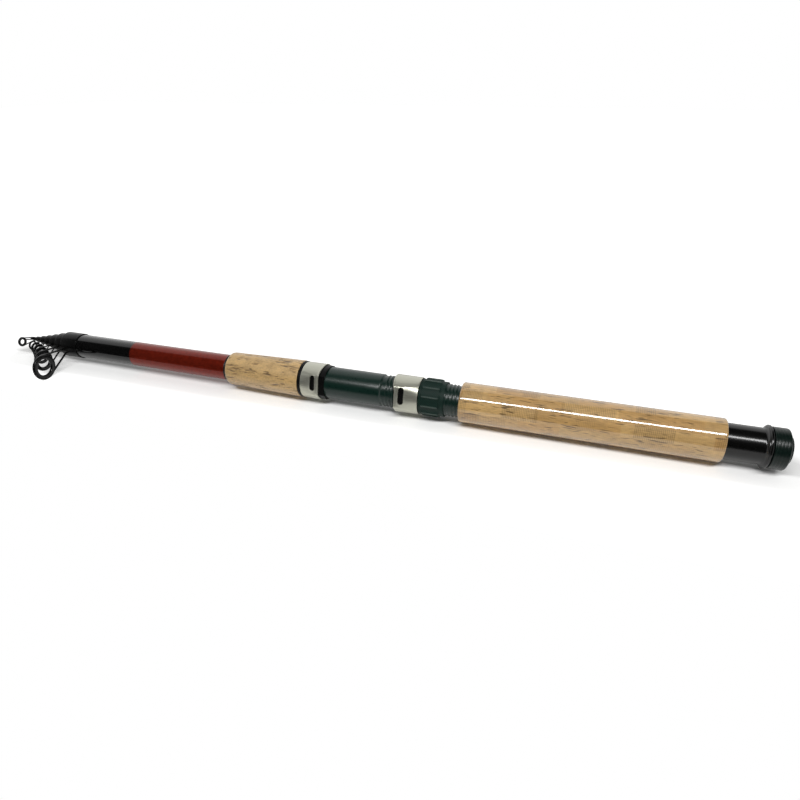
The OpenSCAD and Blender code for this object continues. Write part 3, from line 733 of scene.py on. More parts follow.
# Radius of the fore grip at its rear and at its nose, and the nose's rounding
FORE_REAR_R = 13.7
FORE_NOSE_R = 12.4
FORE_NOSE = 2.6


def blank_radius(s):
    """Outside radius of the butt section at a place along the rod."""
    first, last = stretch("butt_section")
    return BLANK_BUTT_R + (BLANK_MOUTH_R - BLANK_BUTT_R) * (s - first) / (last - first)


def glued(s):
    """Bore of a piece that is glued on the butt section, at a place along the rod."""
    return blank_radius(s) + GLUE


def pitted(piece, inside, depth):
    """Sinks streaky pits into a cork grip's outer face, and keeps each point's share in an attribute."""
    mesh = piece.data
    share = mesh.attributes.new("pit", "FLOAT", "POINT")
    for vertex in mesh.vertices:
        spot = vertex.co / MM
        if math.hypot(spot.y, spot.z) < inside:
            continue
        # Streaks 6.5 mm long and 0.95 mm wide, in clusters of 15 by 4 mm, and small pits of 1.5 by 1.2 mm
        streak = noise.fractal(Vector((spot.x / 6.5, spot.y / 0.95, spot.z / 0.95)), 1.0, 2.0, 3)
        cluster = noise.noise(Vector((spot.x / 15, spot.y / 4, spot.z / 4)) + Vector((7.3, 1.9, 4.1)))
        dots = noise.noise(Vector((spot.x / 1.5, spot.y / 1.2, spot.z / 1.2)) + Vector((3.7, 8.2, 0.4)))
        # A streak starts at 0.22 and is at its deepest 0.5 on; a small pit starts at 0.5 and goes 0.7 as deep
        deep = clamped((streak + 0.8 * cluster - 0.22) / 0.5)
        small = clamped((dots + 0.4 * cluster - 0.5) / 0.25) * 0.7
        value = max(deep, small)
        share.data[vertex.index].value = value
        inward = Vector((0, -vertex.co.y, -vertex.co.z)).normalized()
        vertex.co += inward * depth * value


class ROD_OT_cork_grips(bpy.types.Operator):
    """Rear grip of lacquered cork sheet and fore grip of natural cork"""
    bl_idname = "rod.cork_grips"
    bl_label = "Cork grips"

    def execute(self, context):
        sizes = context.scene.rod_sizes
        edge = sizes.grip_edge / MM
        first, last = stretch("rear_grip")
        r = girth("rear_grip")
        lap = first + GRIP_LAP
        outline = divided(eased([
            (first, GRIP_LAP_R, 0.2), (first, r, edge), (last, r, edge), (last, glued(last), 0.2),
            (lap, glued(lap)), (lap, GRIP_LAP_R)]), 8)
        rear = turned("rear_cork", outline, finish("Lacquered cork sheet"), 144)
        carried(rear, "handle", "cork_lacquered", "rear_grip")

        # The steps are fine enough for the pits
        first, last = stretch("fore_grip")
        outline = divided(eased([
            (first, glued(first), 0.2), (first, FORE_REAR_R, 0.5), (last, FORE_NOSE_R, FORE_NOSE),
            (last, glued(last), 0.2)]), 0.42)
        fore = turned("fore_cork", outline, finish("Natural sanded cork"), 208)
        pitted(fore, glued(first) + 0.4, sizes.pit_depth)
        carried(fore, "handle", "cork_natural", "fore_grip")
        return {"FINISHED"}


class ROD_OT_blank(bpy.types.Operator):
    """Lacquered butt section, with the winding in front of the fore grip"""
    bl_idname = "rod.blank"
    bl_label = "Butt section"

    def execute(self, context):
        first, last = stretch("butt_section")
        outline = divided(eased([
            (first, BLANK_BUTT_R - BLANK_WALL, 0.2), (first, BLANK_BUTT_R, 0.2), (last, BLANK_MOUTH_R, 0.2),
            (last, BLANK_MOUTH_R - BLANK_WALL, 0.2)]), 20)
        tube = turned("blank_tube", outline, finish("Red and black rod lacquer"), 128)
        carried(tube, "handle", "blank_lacquer", "butt_section")

        # The thread is a little thicker than its turns are apart, so that they touch
        first, last = stretch("fore_winding")
        size = context.scene.rod_sizes.thread_size / MM
        length = last - first - size
        wound = grown("whipping", winding_tree(), {
            "First radius": (glued(first) + size * 0.5) * MM, "Last radius": (glued(last) + size * 0.5) * MM,
            "Length": length * MM, "Turns": length / size, "Thickness": size * 1.04 * MM,
            "Start": (-(first + size / 2) * MM, 0, 0)}, finish("Black whipping thread"))
        carried(wound, "handle", "winding_thread", "fore_winding")
        return {"FINISHED"}


# Reel seat
BARREL_R = 11.7485
BARREL_FLAT = 11.1485
THREAD_LENGTH = 56.5
HOOD_R = 13.2485


def off_flat(point):
    """Keeps a point of the seat off the flat along its underside."""
    past = point.dot(POCKET) - BARREL_FLAT
    return point - POCKET * past if past > 0 else point


class ROD_OT_reel_seat(bpy.types.Operator):
    """Reel seat barrel with its screw thread, and the trim ring in front of it"""
    bl_idname = "rod.reel_seat"
    bl_label = "Reel seat"

    def execute(self, context):
        sizes = context.scene.rod_sizes
        abs_green = finish("Dark green moulded ABS")
        first, last = stretch("reel_seat_barrel")
        depth = sizes.seat_thread_depth / MM
        root = BARREL_R - depth
        ramp = first + THREAD_LENGTH
        outline = divided(eased([
            (first, glued(first)), (first, root, 0.3), (ramp, root), (ramp + depth, BARREL_R, 0.5),
            (last, BARREL_R, 0.2), (last, glued(last))]), 10)
        tube = turned("seat_tube", outline, abs_green, 160, shape=off_flat)
        carried(tube, "handle", "seat_plastic", "reel_seat_barrel")

        pitch = sizes.seat_pitch / MM
        length = THREAD_LENGTH - pitch * 0.6
        ridge = grown("seat_thread", thread_tree(), {
            "Radius": root * MM, "Length": length * MM, "Turns": length / pitch, "Depth": depth * MM,
            "Foot": pitch * 0.68 * MM, "Crest": pitch * 0.24 * MM,
            "Start": (-(first + pitch * 0.4) * MM, 0, 0), "Side": POCKET, "Flat": BARREL_FLAT * MM},
            abs_green)
        carried(ridge, "handle", "seat_plastic")

        first, last = stretch("trim_ring")
        r = girth("trim_ring")
        outline = eased([
            (first, glued(first)), (first, r - 0.1, 0.5), ((first + last) / 2, r, 1.2), (last, r - 0.1, 0.5),
            (last, glued(last))])
        band = turned("trim_band", outline, finish("Black moulded polyethylene"), 128)
        carried(band, "handle", "trim_black", "trim_ring")
        return {"FINISHED"}


# Outline of a hood's mouth, half of it, as (side, up); the other half mirrors it
MOUTH_TOP_R = 16.5
MOUTH_CREASE = (13.1, 7.0)
MOUTH_SILL = (12.5, -8.2)
MOUTH_FOOT = (6.0, -12.5)
MOUTH_LOW = (0, -13.3)
# Rounding of these corners
CREASE_ROUND = 2.0
SILL_ROUND = 0.9
# Angles at which these corners meet the round base, above the side
BASE_CREASE = math.radians(43)
BASE_SILL = math.radians(-55)
BASE_FOOT = math.radians(-75)
# Middle of the slots in the hoods' sides, over the seat's axis
SLOT_UP = 0.8
# Pressed lip round a slot: how far it stands out, its place off the slot's edge and its width
LIP_OUT = 0.15
LIP_OFF = 0.3
LIP_WIDE = 0.45
# Pocket for the reel's foot at the mouth: half width and height over the seat's flat
FOOT_HALF = 5.2
FOOT_HIGH = 0.7
# Heights over the seat's axis between which a mouth's slant passes from its sides to its top
SLANT_FROM = 4
SLANT_TO = 12
# Where a cutter for the slots ends, clear of the hood's sides
CUT_REACH = 25


class Hood(NamedTuple):
    """A hood's base along the rod, the way its mouth faces (1 or -1), its length, how far its mouth stands
    out at the sides and at the top, and the thickness of its sheet."""
    base: float
    way: int
    length: float
    slant: tuple
    sheet: float

    def place(self, along, side, up):
        """World point from a place along the hood and in its section."""
        return Vector((-(self.base + self.way * along), 0, 0)) + SEAT_SIDE * side - POCKET * up

    def opened(self, along):
        """Share by which the hood has opened from its round base to its square mouth."""
        return math.sqrt(clamped(along / self.length))

    def slanted(self, along, spot):
        """World point of a spot in the section, drawn along with the mouth's slant."""
        high = clamped((spot.y - SLANT_FROM) / (SLANT_TO - SLANT_FROM))
        out = self.slant[0] + (self.slant[1] - self.slant[0]) * high
        return self.place(along + out * self.opened(along), spot.x, spot.y)

    def row(self, along, inset):
        """Ring of points round the hood."""
        round_r = HOOD_R - inset
        points = []
        for side, up, angle in mouth_outline(inset):
            bent = Vector((round_r * math.cos(angle), round_r * math.sin(angle)))
            points.append(self.slanted(along, bent.lerp(Vector((side, up)), self.opened(along))))
        return points


def mouth_outline(inset):
    """Points round a hood's mouth from its top, as (side, up, angle at the base)."""
    centre = HOOD_R - MOUTH_TOP_R
    span = math.asin(MOUTH_CREASE[0] / MOUTH_TOP_R)
    steps = 14
    turns = [span * k / steps for k in range(steps)]
    arc = [(MOUTH_TOP_R * math.sin(turn), centre + MOUTH_TOP_R * math.cos(turn)) for turn in turns]
    corners = [*arc, (*MOUTH_CREASE, CREASE_ROUND), (*MOUTH_SILL, SILL_ROUND), (*MOUTH_FOOT, SILL_ROUND),
               MOUTH_LOW]
    drawn = divided(eased(corners), 0.5, closed=False)
    # Each point's angle at the base follows from its share of the way between two corners
    keys = [((0, HOOD_R), math.pi / 2), (MOUTH_CREASE, BASE_CREASE), (MOUTH_SILL, BASE_SILL),
            (MOUTH_FOOT, BASE_FOOT), (MOUTH_LOW, -math.pi / 2)]
    spots = [min(range(len(drawn)), key=lambda n: (drawn[n] - Vector(corner)).length)
             for corner, angle in keys]
    half = []
    for (first, last), (key_a, key_b) in zip(zip(spots, spots[1:]), zip(keys, keys[1:])):
        for n in range(first, last):
            t = (n - first) / (last - first)
            half.append((drawn[n].x, drawn[n].y, key_a[1] + (key_b[1] - key_a[1]) * t))
    half.append((*MOUTH_LOW, -math.pi / 2))
    outline = half + [(-side, up, math.pi - angle) for side, up, angle in reversed(half[1:-1])]
    moved = []
    count = len(outline)
    for i, (side, up, angle) in enumerate(outline):
        before = Vector(outline[i - 1][:2])
        after = Vector(outline[(i + 1) % count][:2])
        run = (after - before).normalized()
        spot = Vector((side, up)) + Vector((run.y, -run.x)) * inset
        moved.append((spot.x, spot.y, angle))
    return moved


def evenly(first, last, step, inset):
    """Places (along, inset) from first to last about a step apart, at one inset."""
    count = max(1, round((last - first) / step))
    return [(first + (last - first) * k / count, inset) for k in range(count + 1)]


def bar(name, far, near, finish):
    """Straight bar between two equal outlines, for cutting."""
    work = bmesh.new()
    ends = [[work.verts.new(point) for point in outline] for outline in (far, near)]
    work.faces.new(ends[0])
    work.faces.new(ends[1][::-1])
    for i in range(len(far)):
        j = (i + 1) % len(far)
        work.faces.new([ends[0][i], ends[1][i], ends[1][j], ends[0][j]])
    return settled(work, name, finish)


def hood_piece(name, hood, steel, slot):
    """Pressed hood: sheet with rolled edges, a slot in each side and a pressed lip round each slot. The slot
    is given as its width, its length and its distance from the mouth."""
    slot_r = slot[0] / 2
    slot_half = (slot[1] - slot[0]) / 2
    slot_along = hood.length - slot[2]

    def pressed(point):
        along = hood.way * (-point.x - hood.base)
        up = -point.dot(POCKET)
        side = point.dot(SEAT_SIDE)
        # The top and the underside have no lip
        if abs(side) < HOOD_R * 0.7:
            return point
        off_up = max(0.0, abs(up - SLOT_UP) - slot_half)
        gap = abs(math.hypot(along - slot_along, off_up) - slot_r - LIP_OFF)
        return point + SEAT_SIDE * math.copysign(LIP_OUT * math.exp(-(gap / LIP_WIDE) ** 2), side)

    length = hood.length
    sheet = hood.sheet
    outer = [(0, sheet * 0.45), (0.1, 0.1), (0.35, 0)] + evenly(0.7, length - 1.4, 0.4, 0)
    outer += [(length - 1.0, -0.06), (length - 0.7, -0.16), (length - 0.4, -0.16), (length - 0.12, -0.04)]
    inner = [(length, sheet * 0.4), (length - 0.2, sheet)] + evenly(0.2, length - 1, 0.8, sheet)[::-1]
    rows = [[pressed(point) for point in hood.row(*place)] for place in outer]
    rows += [hood.row(*place) for place in inner]
    shell = settled(skinned(rows), name, steel, 30)
    loop = []
    turns = 12
    for end, first in ((1, 0), (-1, math.pi)):
        for k in range(turns + 1):
            turn = first + math.pi * k / turns
            loop.append((slot_along + slot_r * math.cos(turn),
                         SLOT_UP + end * slot_half + slot_r * math.sin(turn)))
    far = [hood.place(along, CUT_REACH, up) for along, up in loop]
    near = [hood.place(along, -CUT_REACH, up) for along, up in loop]
    return carved(shell, bar(name + "_slots", far, near, steel), steel, 30)


def hood_lining(name, hood, plastic, lip, bore_gap):
    """Moulded lining of a hood with its lip, hollowed for the reel foot."""
    length = hood.length
    inset = hood.sheet + GLUE
    bore = BARREL_R + bore_gap
    sill = Vector((bore * math.cos(BASE_SILL), bore * math.sin(BASE_SILL)))

    def bore_row(along):
        grow = hood.opened(along)
        half = bore * math.cos(BASE_FOOT) * (1 - grow) + FOOT_HALF * grow
        floor = -BARREL_FLAT - bore_gap - FOOT_HIGH * grow
        row = []
        for side, up, angle in mouth_outline(inset):
            flank = math.copysign(1, math.cos(angle))
            down = math.sin(angle)
            if down <= math.sin(BASE_FOOT):
                spot = Vector((half * math.cos(angle) / math.cos(BASE_FOOT), floor))
            elif down <= math.sin(BASE_SILL):
                t = (down - math.sin(BASE_SILL)) / (math.sin(BASE_FOOT) - math.sin(BASE_SILL))
                wall = sill.lerp(Vector((half, floor)), t)
                # The wall keeps clear of the round barrel
                wall *= max(1.0, bore / wall.length)
                spot = Vector((wall.x * flank, wall.y))
            else:
                spot = Vector((bore * math.cos(angle), bore * down))
            row.append(hood.slanted(along, spot))
        return row

    places = evenly(0.15, length, 0.8, inset)
    # The lip draws in towards its end
    places += [(length + lip * share, inset + draw) for share, draw in (
        (0.3, 0.03), (0.6, 0.08), (0.85, 0.15), (0.96, 0.21), (1.0, 0.27))]
    rows = [hood.row(*place) for place in places]
    rows.append(bore_row(length + lip))
    rows += [bore_row(along) for along, gap in reversed(evenly(0.15, length, 2.4, 0))]
    return settled(skinned(rows), name, plastic, 30)


class ROD_OT_hoods(bpy.types.Operator):
    """Pressed steel hoods that hold the reel's foot, with their moulded linings"""
    bl_idname = "rod.hoods"
    bl_label = "Reel hoods"

    def execute(self, context):
        sheet = context.scene.rod_sizes.hood_sheet / MM
        steel = finish("Satin stainless sheet")
        plastic = finish("Black moulded polyethylene")
        first, last = stretch("moving_hood")
        hood = Hood(first, 1, last - first, slant=(-1.1, 1.0), sheet=sheet)
        shell = hood_piece("sliding_hood", hood, steel, slot=(4.1, 12.2, 6.1))
        carried(shell, "moving_hood", "hood_steel", "moving_hood")
        lining = hood_lining("sliding_hood_lining", hood, plastic, lip=0.8, bore_gap=0.15)
        carried(lining, "moving_hood", "cushion_plastic", "moving_hood_cushion")

        first, last = stretch("fixed_hood")
        hood = Hood(last, -1, last - first, slant=(-0.4, 0.4), sheet=sheet)
        shell = hood_piece("front_hood", hood, steel, slot=(3.7, 11.4, 5.2))
        carried(shell, "handle", "hood_steel", "fixed_hood")
        lining = hood_lining("front_hood_lining", hood, plastic, lip=4.2, bore_gap=0.05)
        carried(lining, "handle", "cushion_plastic", "fixed_hood_cushion")
        return {"FINISHED"}


# Lock nut: radii of its rear collar, the necks beside its facets and its front rim, and its facets' distance
NUT_COLLAR_R = 12.4
NUT_REAR_NECK_R = 12.15
NUT_FRONT_NECK_R = 12.25
NUT_RIM_R = 12.6
NUT_FLAT = 12.72
# Lengths of the collar and of the rim
NUT_COLLAR = 2.8
NUT_RIM = 1.5
# How far a facet is scooped, the thickness of the ribs between facets, and the play on the thread
NUT_SCOOP = 0.42
NUT_RIB = 1.1
NUT_PLAY = 0.08
# Turn at which the nut stands on its thread
NUT_STAND = math.radians(3)
# Matt share of the nut's turned rims; facets have 1 and ribs 0. A low share also brings in the nut finish's
# painted highlight, fully on the ribs and faintly on the rims
RIM_MATT = 0.95


class ROD_OT_lock_nut(bpy.types.Operator):
    """Faceted nut that pushes the sliding hood along the seat's thread"""
    bl_idname = "rod.lock_nut"
    bl_label = "Lock nut"

    def execute(self, context):
        abs_green = finish("Dark green grained ABS")
        first, last = stretch("lock_nut")
        facets = context.scene.rod_sizes.nut_facets
        bore = BARREL_R + NUT_PLAY
        border = NUT_FLAT / math.cos(math.pi / facets)
        collar_end = first + NUT_COLLAR
        facet_end = last - NUT_RIM
        # Round limit of the nut along the rod: narrow rear collar, facets, narrow front rim
        profile = divided(eased([
            (first, bore), (first, NUT_COLLAR_R, 0.6), (collar_end, NUT_COLLAR_R, 0.2),
            (collar_end + 0.1, NUT_REAR_NECK_R, 0.1), (collar_end + 0.5, NUT_REAR_NECK_R, 0.1),
            (collar_end + 1.1, border, 0.5), (facet_end - 0.7, border, 0.5),
            (facet_end - 0.1, NUT_FRONT_NECK_R, 0.2), (facet_end + 0.3, NUT_FRONT_NECK_R, 0.1),
            (facet_end + 0.4, NUT_RIM_R, 0.2), (last, NUT_RIM_R, 0.5), (last, bore)]), 1.0, closed=False)
        samples = 12
        count = facets * samples
        rows = []
        for k in range(count):
            turn = TAU * k / count + NUT_STAND
            off = (k % samples) / samples - 0.5
            # Facets are scooped, so their borders stand up
            reach = NUT_FLAT / math.cos(off * TAU / facets) - NUT_SCOOP * (1 - (2 * off) ** 2)
            rows.append([Vector((-s, min(r, reach) * math.cos(turn), min(r, reach) * math.sin(turn)))
                         for s, r in profile])
        body = settled(skinned(rows), "seat_nut", abs_green, 30)
        ribs = grown("nut_ribs", rib_tree(), {
            "Count": facets, "Radius": (border - 0.1) * MM, "Length": (facet_end - collar_end - 0.9) * MM,
            "Thickness": NUT_RIB * MM, "Middle": (-(collar_end + facet_end + 0.3) / 2 * MM, 0, 0),
            "Turn": -NUT_STAND}, abs_green)
        nut = joined("seat_nut", [body, ribs], abs_green, 30)
        share = nut.data.attributes.new("matt", "FLOAT", "POINT")
        for vertex in nut.data.vertices:
            matt = RIM_MATT
            if collar_end + 0.8 < -vertex.co.x / MM < facet_end - 0.4:
                rib = math.hypot(vertex.co.y, vertex.co.z) / MM > NUT_FLAT + 0.2
                matt = 0.0 if rib else 1.0
            share.data[vertex.index].value = matt
        carried(nut, "lock_nut", "seat_plastic", "lock_nut")
        return {"FINISHED"}


# Butt sleeve: its bore for the cap's plug, its flange and the part that the grip sits on
SLEEVE_BORE_R = 8.98
SLEEVE_R = 11.5
FLANGE_R = 13.7
FLANGE_STEP_R = 13.1
FLANGE_FACE_R = 12.85
FLANGE_LENGTH = 2.7
# Butt cap: its rim and grooves, the seat of its end disc, the seal's seat and the plug
CAP_R = 13.0
CAP_EDGE = 1.7
GROOVE_FIRST = 2.6
GROOVE_SPAN = 5.4
GROOVE_HALF = 0.3
GROOVE_DEPTH = 0.09
DISC_SEAT = 1.55
DISC_SEAT_R = 9.05
SEAL_SEAT_R = 10.9
PLUG_ROOT_R = 8.4
PLUG_BORE_R = 6.0
PLUG_THREAD = 0.5
# End disc: its radius, and the dish in its face
DISC_R = 9.0
DISH_R = 6.6
DISH_RIM_R = 7.1
DISH_DEPTH = 0.7


class ROD_OT_butt_end(bpy.types.Operator):
    """Butt sleeve, screw cap with its end disc and thread, seal and rattle pad"""
    bl_idname = "rod.butt_end"
    bl_label = "Butt end"

    def execute(self, context):
        sizes = context.scene.rod_sizes
        sleeve_first, last = stretch("butt_ferrule")
        flange_end = sleeve_first + FLANGE_LENGTH
        stop = stretch("butt_section")[0] - GLUE
        outline = divided(eased([
            (sleeve_first, SLEEVE_BORE_R), (sleeve_first, FLANGE_R, 0.5), (flange_end - 1.3, FLANGE_R, 0.4),
            (flange_end - 1.2, FLANGE_STEP_R, 0.15), (flange_end - 0.5, FLANGE_FACE_R, 0.3),
            (flange_end + 0.4, SLEEVE_R, 0.9), (last, SLEEVE_R, 0.2), (last, glued(last)),
            (stop, BLANK_BUTT_R + GLUE), (stop, SLEEVE_BORE_R)]), 8)
        sleeve = turned("butt_sleeve", outline, finish("Black polished ABS"), 144, sharp=32)
        carried(sleeve, "handle", "ferrule_black", "butt_ferrule")

        seal_first, seal_last = stretch("cap_seal")
        first, last = stretch("butt_cap")
        body_last = seal_first - GLUE
        seat_last = seal_last - GLUE
        disc_seat = first + DISC_SEAT
        grooves = []
        for k in range(sizes.cap_grooves):
            middle = first + GROOVE_FIRST + k * GROOVE_SPAN / max(1, sizes.cap_grooves - 1)
            grooves += [(middle - GROOVE_HALF, CAP_R, 0.15), (middle, CAP_R - GROOVE_DEPTH, 0.2),
                        (middle + GROOVE_HALF, CAP_R, 0.15)]
        outline = divided(eased([
            (disc_seat, 0), (disc_seat, DISC_SEAT_R), (first, DISC_SEAT_R, 0.3), (first, CAP_R, CAP_EDGE),
            *grooves, (body_last, CAP_R, 0.7), (body_last, SEAL_SEAT_R), (seat_last, SEAL_SEAT_R),
            (seat_last, PLUG_ROOT_R), (last, PLUG_ROOT_R, 0.4), (last, PLUG_BORE_R, 0.3),
            (body_last, PLUG_BORE_R), (body_last, 0)]), 6, closed=False)
        cap_green = finish("Green-black moulded ABS")
        shell = turned("cap_shell_body", outline, cap_green, 144, closed=False, sharp=32)
        pitch = sizes.cap_pitch / MM
        length = last - sleeve_first - pitch
        # No flat cuts this thread, so it lies 20 mm off
        ridge = grown("cap_thread", thread_tree(), {
            "Radius": PLUG_ROOT_R * MM, "Length": length * MM, "Turns": length / pitch,
            "Depth": PLUG_THREAD * MM, "Foot": pitch * 0.8 * MM, "Crest": pitch * 0.25 * MM,
            "Start": (-(last - length - pitch * 0.5) * MM, 0, 0), "Side": (0, 0, -1), "Flat": 0.02},
            cap_green)
        cap = joined("cap_shell", [shell, ridge], cap_green, 32)
        carried(cap, "butt_cap", "seat_plastic", "butt_cap")

        first, last = stretch("end_disc")
        outline = divided(eased([
            (first + DISH_DEPTH, 0), (first + DISH_DEPTH, DISH_R, 0.3), (first, DISH_RIM_R, 0.3),
            (first, DISC_R, 0.8), (last, DISC_R, 0.2), (last, 0)]), 3, closed=False)
        disc = turned("cap_disc", outline, cap_green, 128, closed=False)
        carried(disc, "butt_cap", "seat_plastic", "end_disc")

        rubber = finish("Black rubber")
        for node in ("cap_seal", "rattle_pad"):
            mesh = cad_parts[node].data
            mesh.materials.clear()
            mesh.materials.append(rubber)
        return {"FINISHED"}


# Sizes by number: 0 is the butt section, 1 to 5 the sliding sections and 6 the tip
TIP = SECTIONS + 1


def stepped(first, step, count):
    """Sizes from section 1 on, each a step smaller than the one before."""
    return [first - step * k for k in range(count)]


# Walls, and how much wider a butt is than its mouth
WALL = [BLANK_WALL] + stepped(0.88, 0.085, SECTIONS)
TAPER = [0] + stepped(1.75, 0.2, TIP)
# Each butt fits in the mouth of the section before it, with a little play
SECTION_PLAY = 0.04
MOUTH_OD = [2 * BLANK_MOUTH_R]
for wall, taper in zip(WALL, TAPER[1:]):
    MOUTH_OD.append(MOUTH_OD[-1] - 2 * wall - SECTION_PLAY - taper)
# Collars on the mouths: the stripper's, those of the smaller guides and the tip-top's tube
COLLAR_R = [10.236] + [od / 2 + stand for od, stand in zip(MOUTH_OD[1:], stepped(1.195, 0.1, TIP))]
COLLAR_LENGTH = [15.4] + stepped(7.5, 0.45, SECTIONS) + [6.5]
# Largest guide, and how much smaller each next one is
RING_R = 10.3
RING_FRAME = 1.3
RING_LINER = 2.4
RING_WIDTH = 2.6
RING_STEP = 0.83
RING_SETBACK = 3.6
WIRE = 1.5
REACH = 33.7
REACH_STEP = 0.77
# How far a wire lies inside the outer edge of the band that it holds
WIRE_IN = 0.02
# Distance of a leg's foot from the middle of its ferrule's face, as a share of the wire's thickness
LEG_SPREAD = 4 / 3
# Names of the guides on the butt section and on the sliding sections
GUIDES = ["stripper"] + [f"guide_{i}" for i in range(1, TIP)]


class ROD_OT_sections(bpy.types.Operator):
    """Sliding sections, each a tapered tube, and the solid tip"""
    bl_idname = "rod.sections"
    bl_label = "Sections"

    def execute(self, context):
        dark = finish("Dark section lacquer")
        for i in range(1, TIP):
            node = f"section_{i}"
            first, last = stretch(node)
            front = MOUTH_OD[i] / 2
            butt = front + TAPER[i] / 2
            outline = divided(eased([
                (first, butt - WALL[i], 0.15), (first, butt, 0.15), (last, front, 0.15),
                (last, front - WALL[i], 0.15)], 3), 25)
            tube = turned(f"tube_{i}", outline, dark, 80)
            carried(tube, node, "section_lacquer", node)
        first, last = stretch("tip_section")
        front = MOUTH_OD[TIP] / 2
        outline = divided(eased([
            (first, 0), (first, front + TAPER[TIP] / 2, 0.2), (last, front, 0.1), (last, 0)], 3), 25,
            closed=False)
        tip = turned("tip_rod", outline, dark, 40, closed=False)
        carried(tip, "tip_section", "section_lacquer", "tip_section")
        return {"FINISHED"}


def collar_outline(i, front):
    """Outline of the ferrule on the mouth of section i: plain, with soft edges."""
    start = front - COLLAR_LENGTH[i]
    r = COLLAR_R[i]
    rear_bore = MOUTH_OD[i] / 2 + 0.09
    front_bore = MOUTH_OD[i] / 2 + GLUE
    if i == 0:
        rear_bore = glued(start)
        front_bore = glued(front)
    soft = min(0.45, (r - front_bore) * 0.7)
    return eased([(start, rear_bore), (start, r, soft * 0.6), (front, r, soft), (front, front_bore)], 5)


def guide_point(s, out, across):
    """World point beside the rod, out along the guides and across them."""
    return Vector((-s, 0, 0)) + OUTWARD * out + ACROSS * across


def beside(plane, reach):
    """Place of a ring's middle across the rod."""
    return guide_point(plane, reach, 0).yz


def guide_wire(name, wires, points, thickness, sides, coat):
    """Wire through points."""
    return grown(name, wires, {"Thickness": thickness * MM, "Sides": sides}, coat, path(points))


def guide_frame(i, wires):
    """Ferrule, and one wire that runs from it round the ring and back, with the ring's band."""
    coat = finish("Black baked wire coating")
    k = RING_STEP ** i
    front = stretch(GUIDES[i] + "_frame")[1]
    plane = front - RING_SETBACK
    reach = REACH * REACH_STEP ** i
    wire = WIRE * k
    loop_r = RING_R * k - wire / 2 - WIRE_IN
    parts = [turned("ferrule", collar_outline(i, front), coat, 112)]
    # Each leg stands in the ferrule's wall and touches the loop on its own circle
    bore = glued(plane) if i == 0 else MOUTH_OD[i] / 2 + GLUE
    foot_y = LEG_SPREAD * wire
    foot = Vector((math.sqrt(((COLLAR_R[i] + bore) / 2) ** 2 - foot_y ** 2), foot_y))
    inward = Vector((reach, 0)) - foot
    touch = math.asin(loop_r / inward.length)
    leg_end = foot + Matrix.Rotation(touch, 2) @ inward * math.cos(touch)
    turn_first = math.atan2(leg_end.y, leg_end.x - reach)
    steps = 10
    leg = [foot.lerp(leg_end, n / steps) for n in range(steps)]
    points = [guide_point(plane, spot.x, spot.y) for spot in leg]
    around = 56
    for n in range(around + 1):
        turn = turn_first - 2 * turn_first * n / around
        points.append(guide_point(plane, reach + loop_r * math.cos(turn), loop_r * math.sin(turn)))
    points += [guide_point(plane, spot.x, -spot.y) for spot in reversed(leg)]
    parts.append(guide_wire("loop", wires, points, wire, 16, coat))
    half = RING_WIDTH * k / 2
    outer = RING_R * k
    band = eased(both_sides(plane, [
        (half, outer - RING_FRAME * k, 0.1), (half, outer - 0.45 * k, 0.3 * k),
        (half * 0.45, outer, 0.4 * k)]), 4)
    parts.append(turned("band", band, coat, 96, centre=beside(plane, reach)))
    return joined(GUIDES[i] + "_wire", parts, coat, 38)


def guide_liner(i):
    """Polished liner with a round bore edge."""
    k = RING_STEP ** i
    plane = stretch(GUIDES[i] + "_frame")[1] - RING_SETBACK
    outer = (RING_R - RING_FRAME) * k - GLUE
    inner = outer - RING_LINER * k + GLUE
    half = RING_WIDTH * k / 2
    outline = eased(both_sides(plane, [
        (half * 0.9, outer, 0.08), (half * 0.98, outer - 0.5 * k, 0.3 * k), (half, inner, half)]), 8)
    return turned(GUIDES[i] + "_liner", outline, finish("Dark polished ceramic"), 96,
                  centre=beside(plane, REACH * REACH_STEP ** i))


class ROD_OT_guides(bpy.types.Operator):
    """Line guides: ferrules, wire frames and ring liners"""
    bl_idname = "rod.guides"
    bl_label = "Line guides"

    def execute(self, context):
        wires = wire_tree()
        for i, guide in enumerate(GUIDES):
            body = "handle" if i == 0 else f"section_{i}"
            carried(guide_frame(i, wires), body, "guide_metal", guide + "_frame")
            carried(guide_liner(i), body, "ring_liner", guide + "_ring")
        return {"FINISHED"}


# Tip-top: its ring, its wires and where they leave the tube
TIP_RING_R = 4.1
TIP_RING_FRAME = 0.8
TIP_HOLE_R = 2.0
TIP_RING_WIDTH = 1.2
TIP_WIRE = 0.9
TIP_REACH = 6.5
TIP_AHEAD = 3.7
TIP_BEND = 3.25
TIP_FOOT = 2.6
# Share of a wire's foot before its bend, and of its leg within the bend
BEND_FROM = 0.75
BEND_TO = 0.12


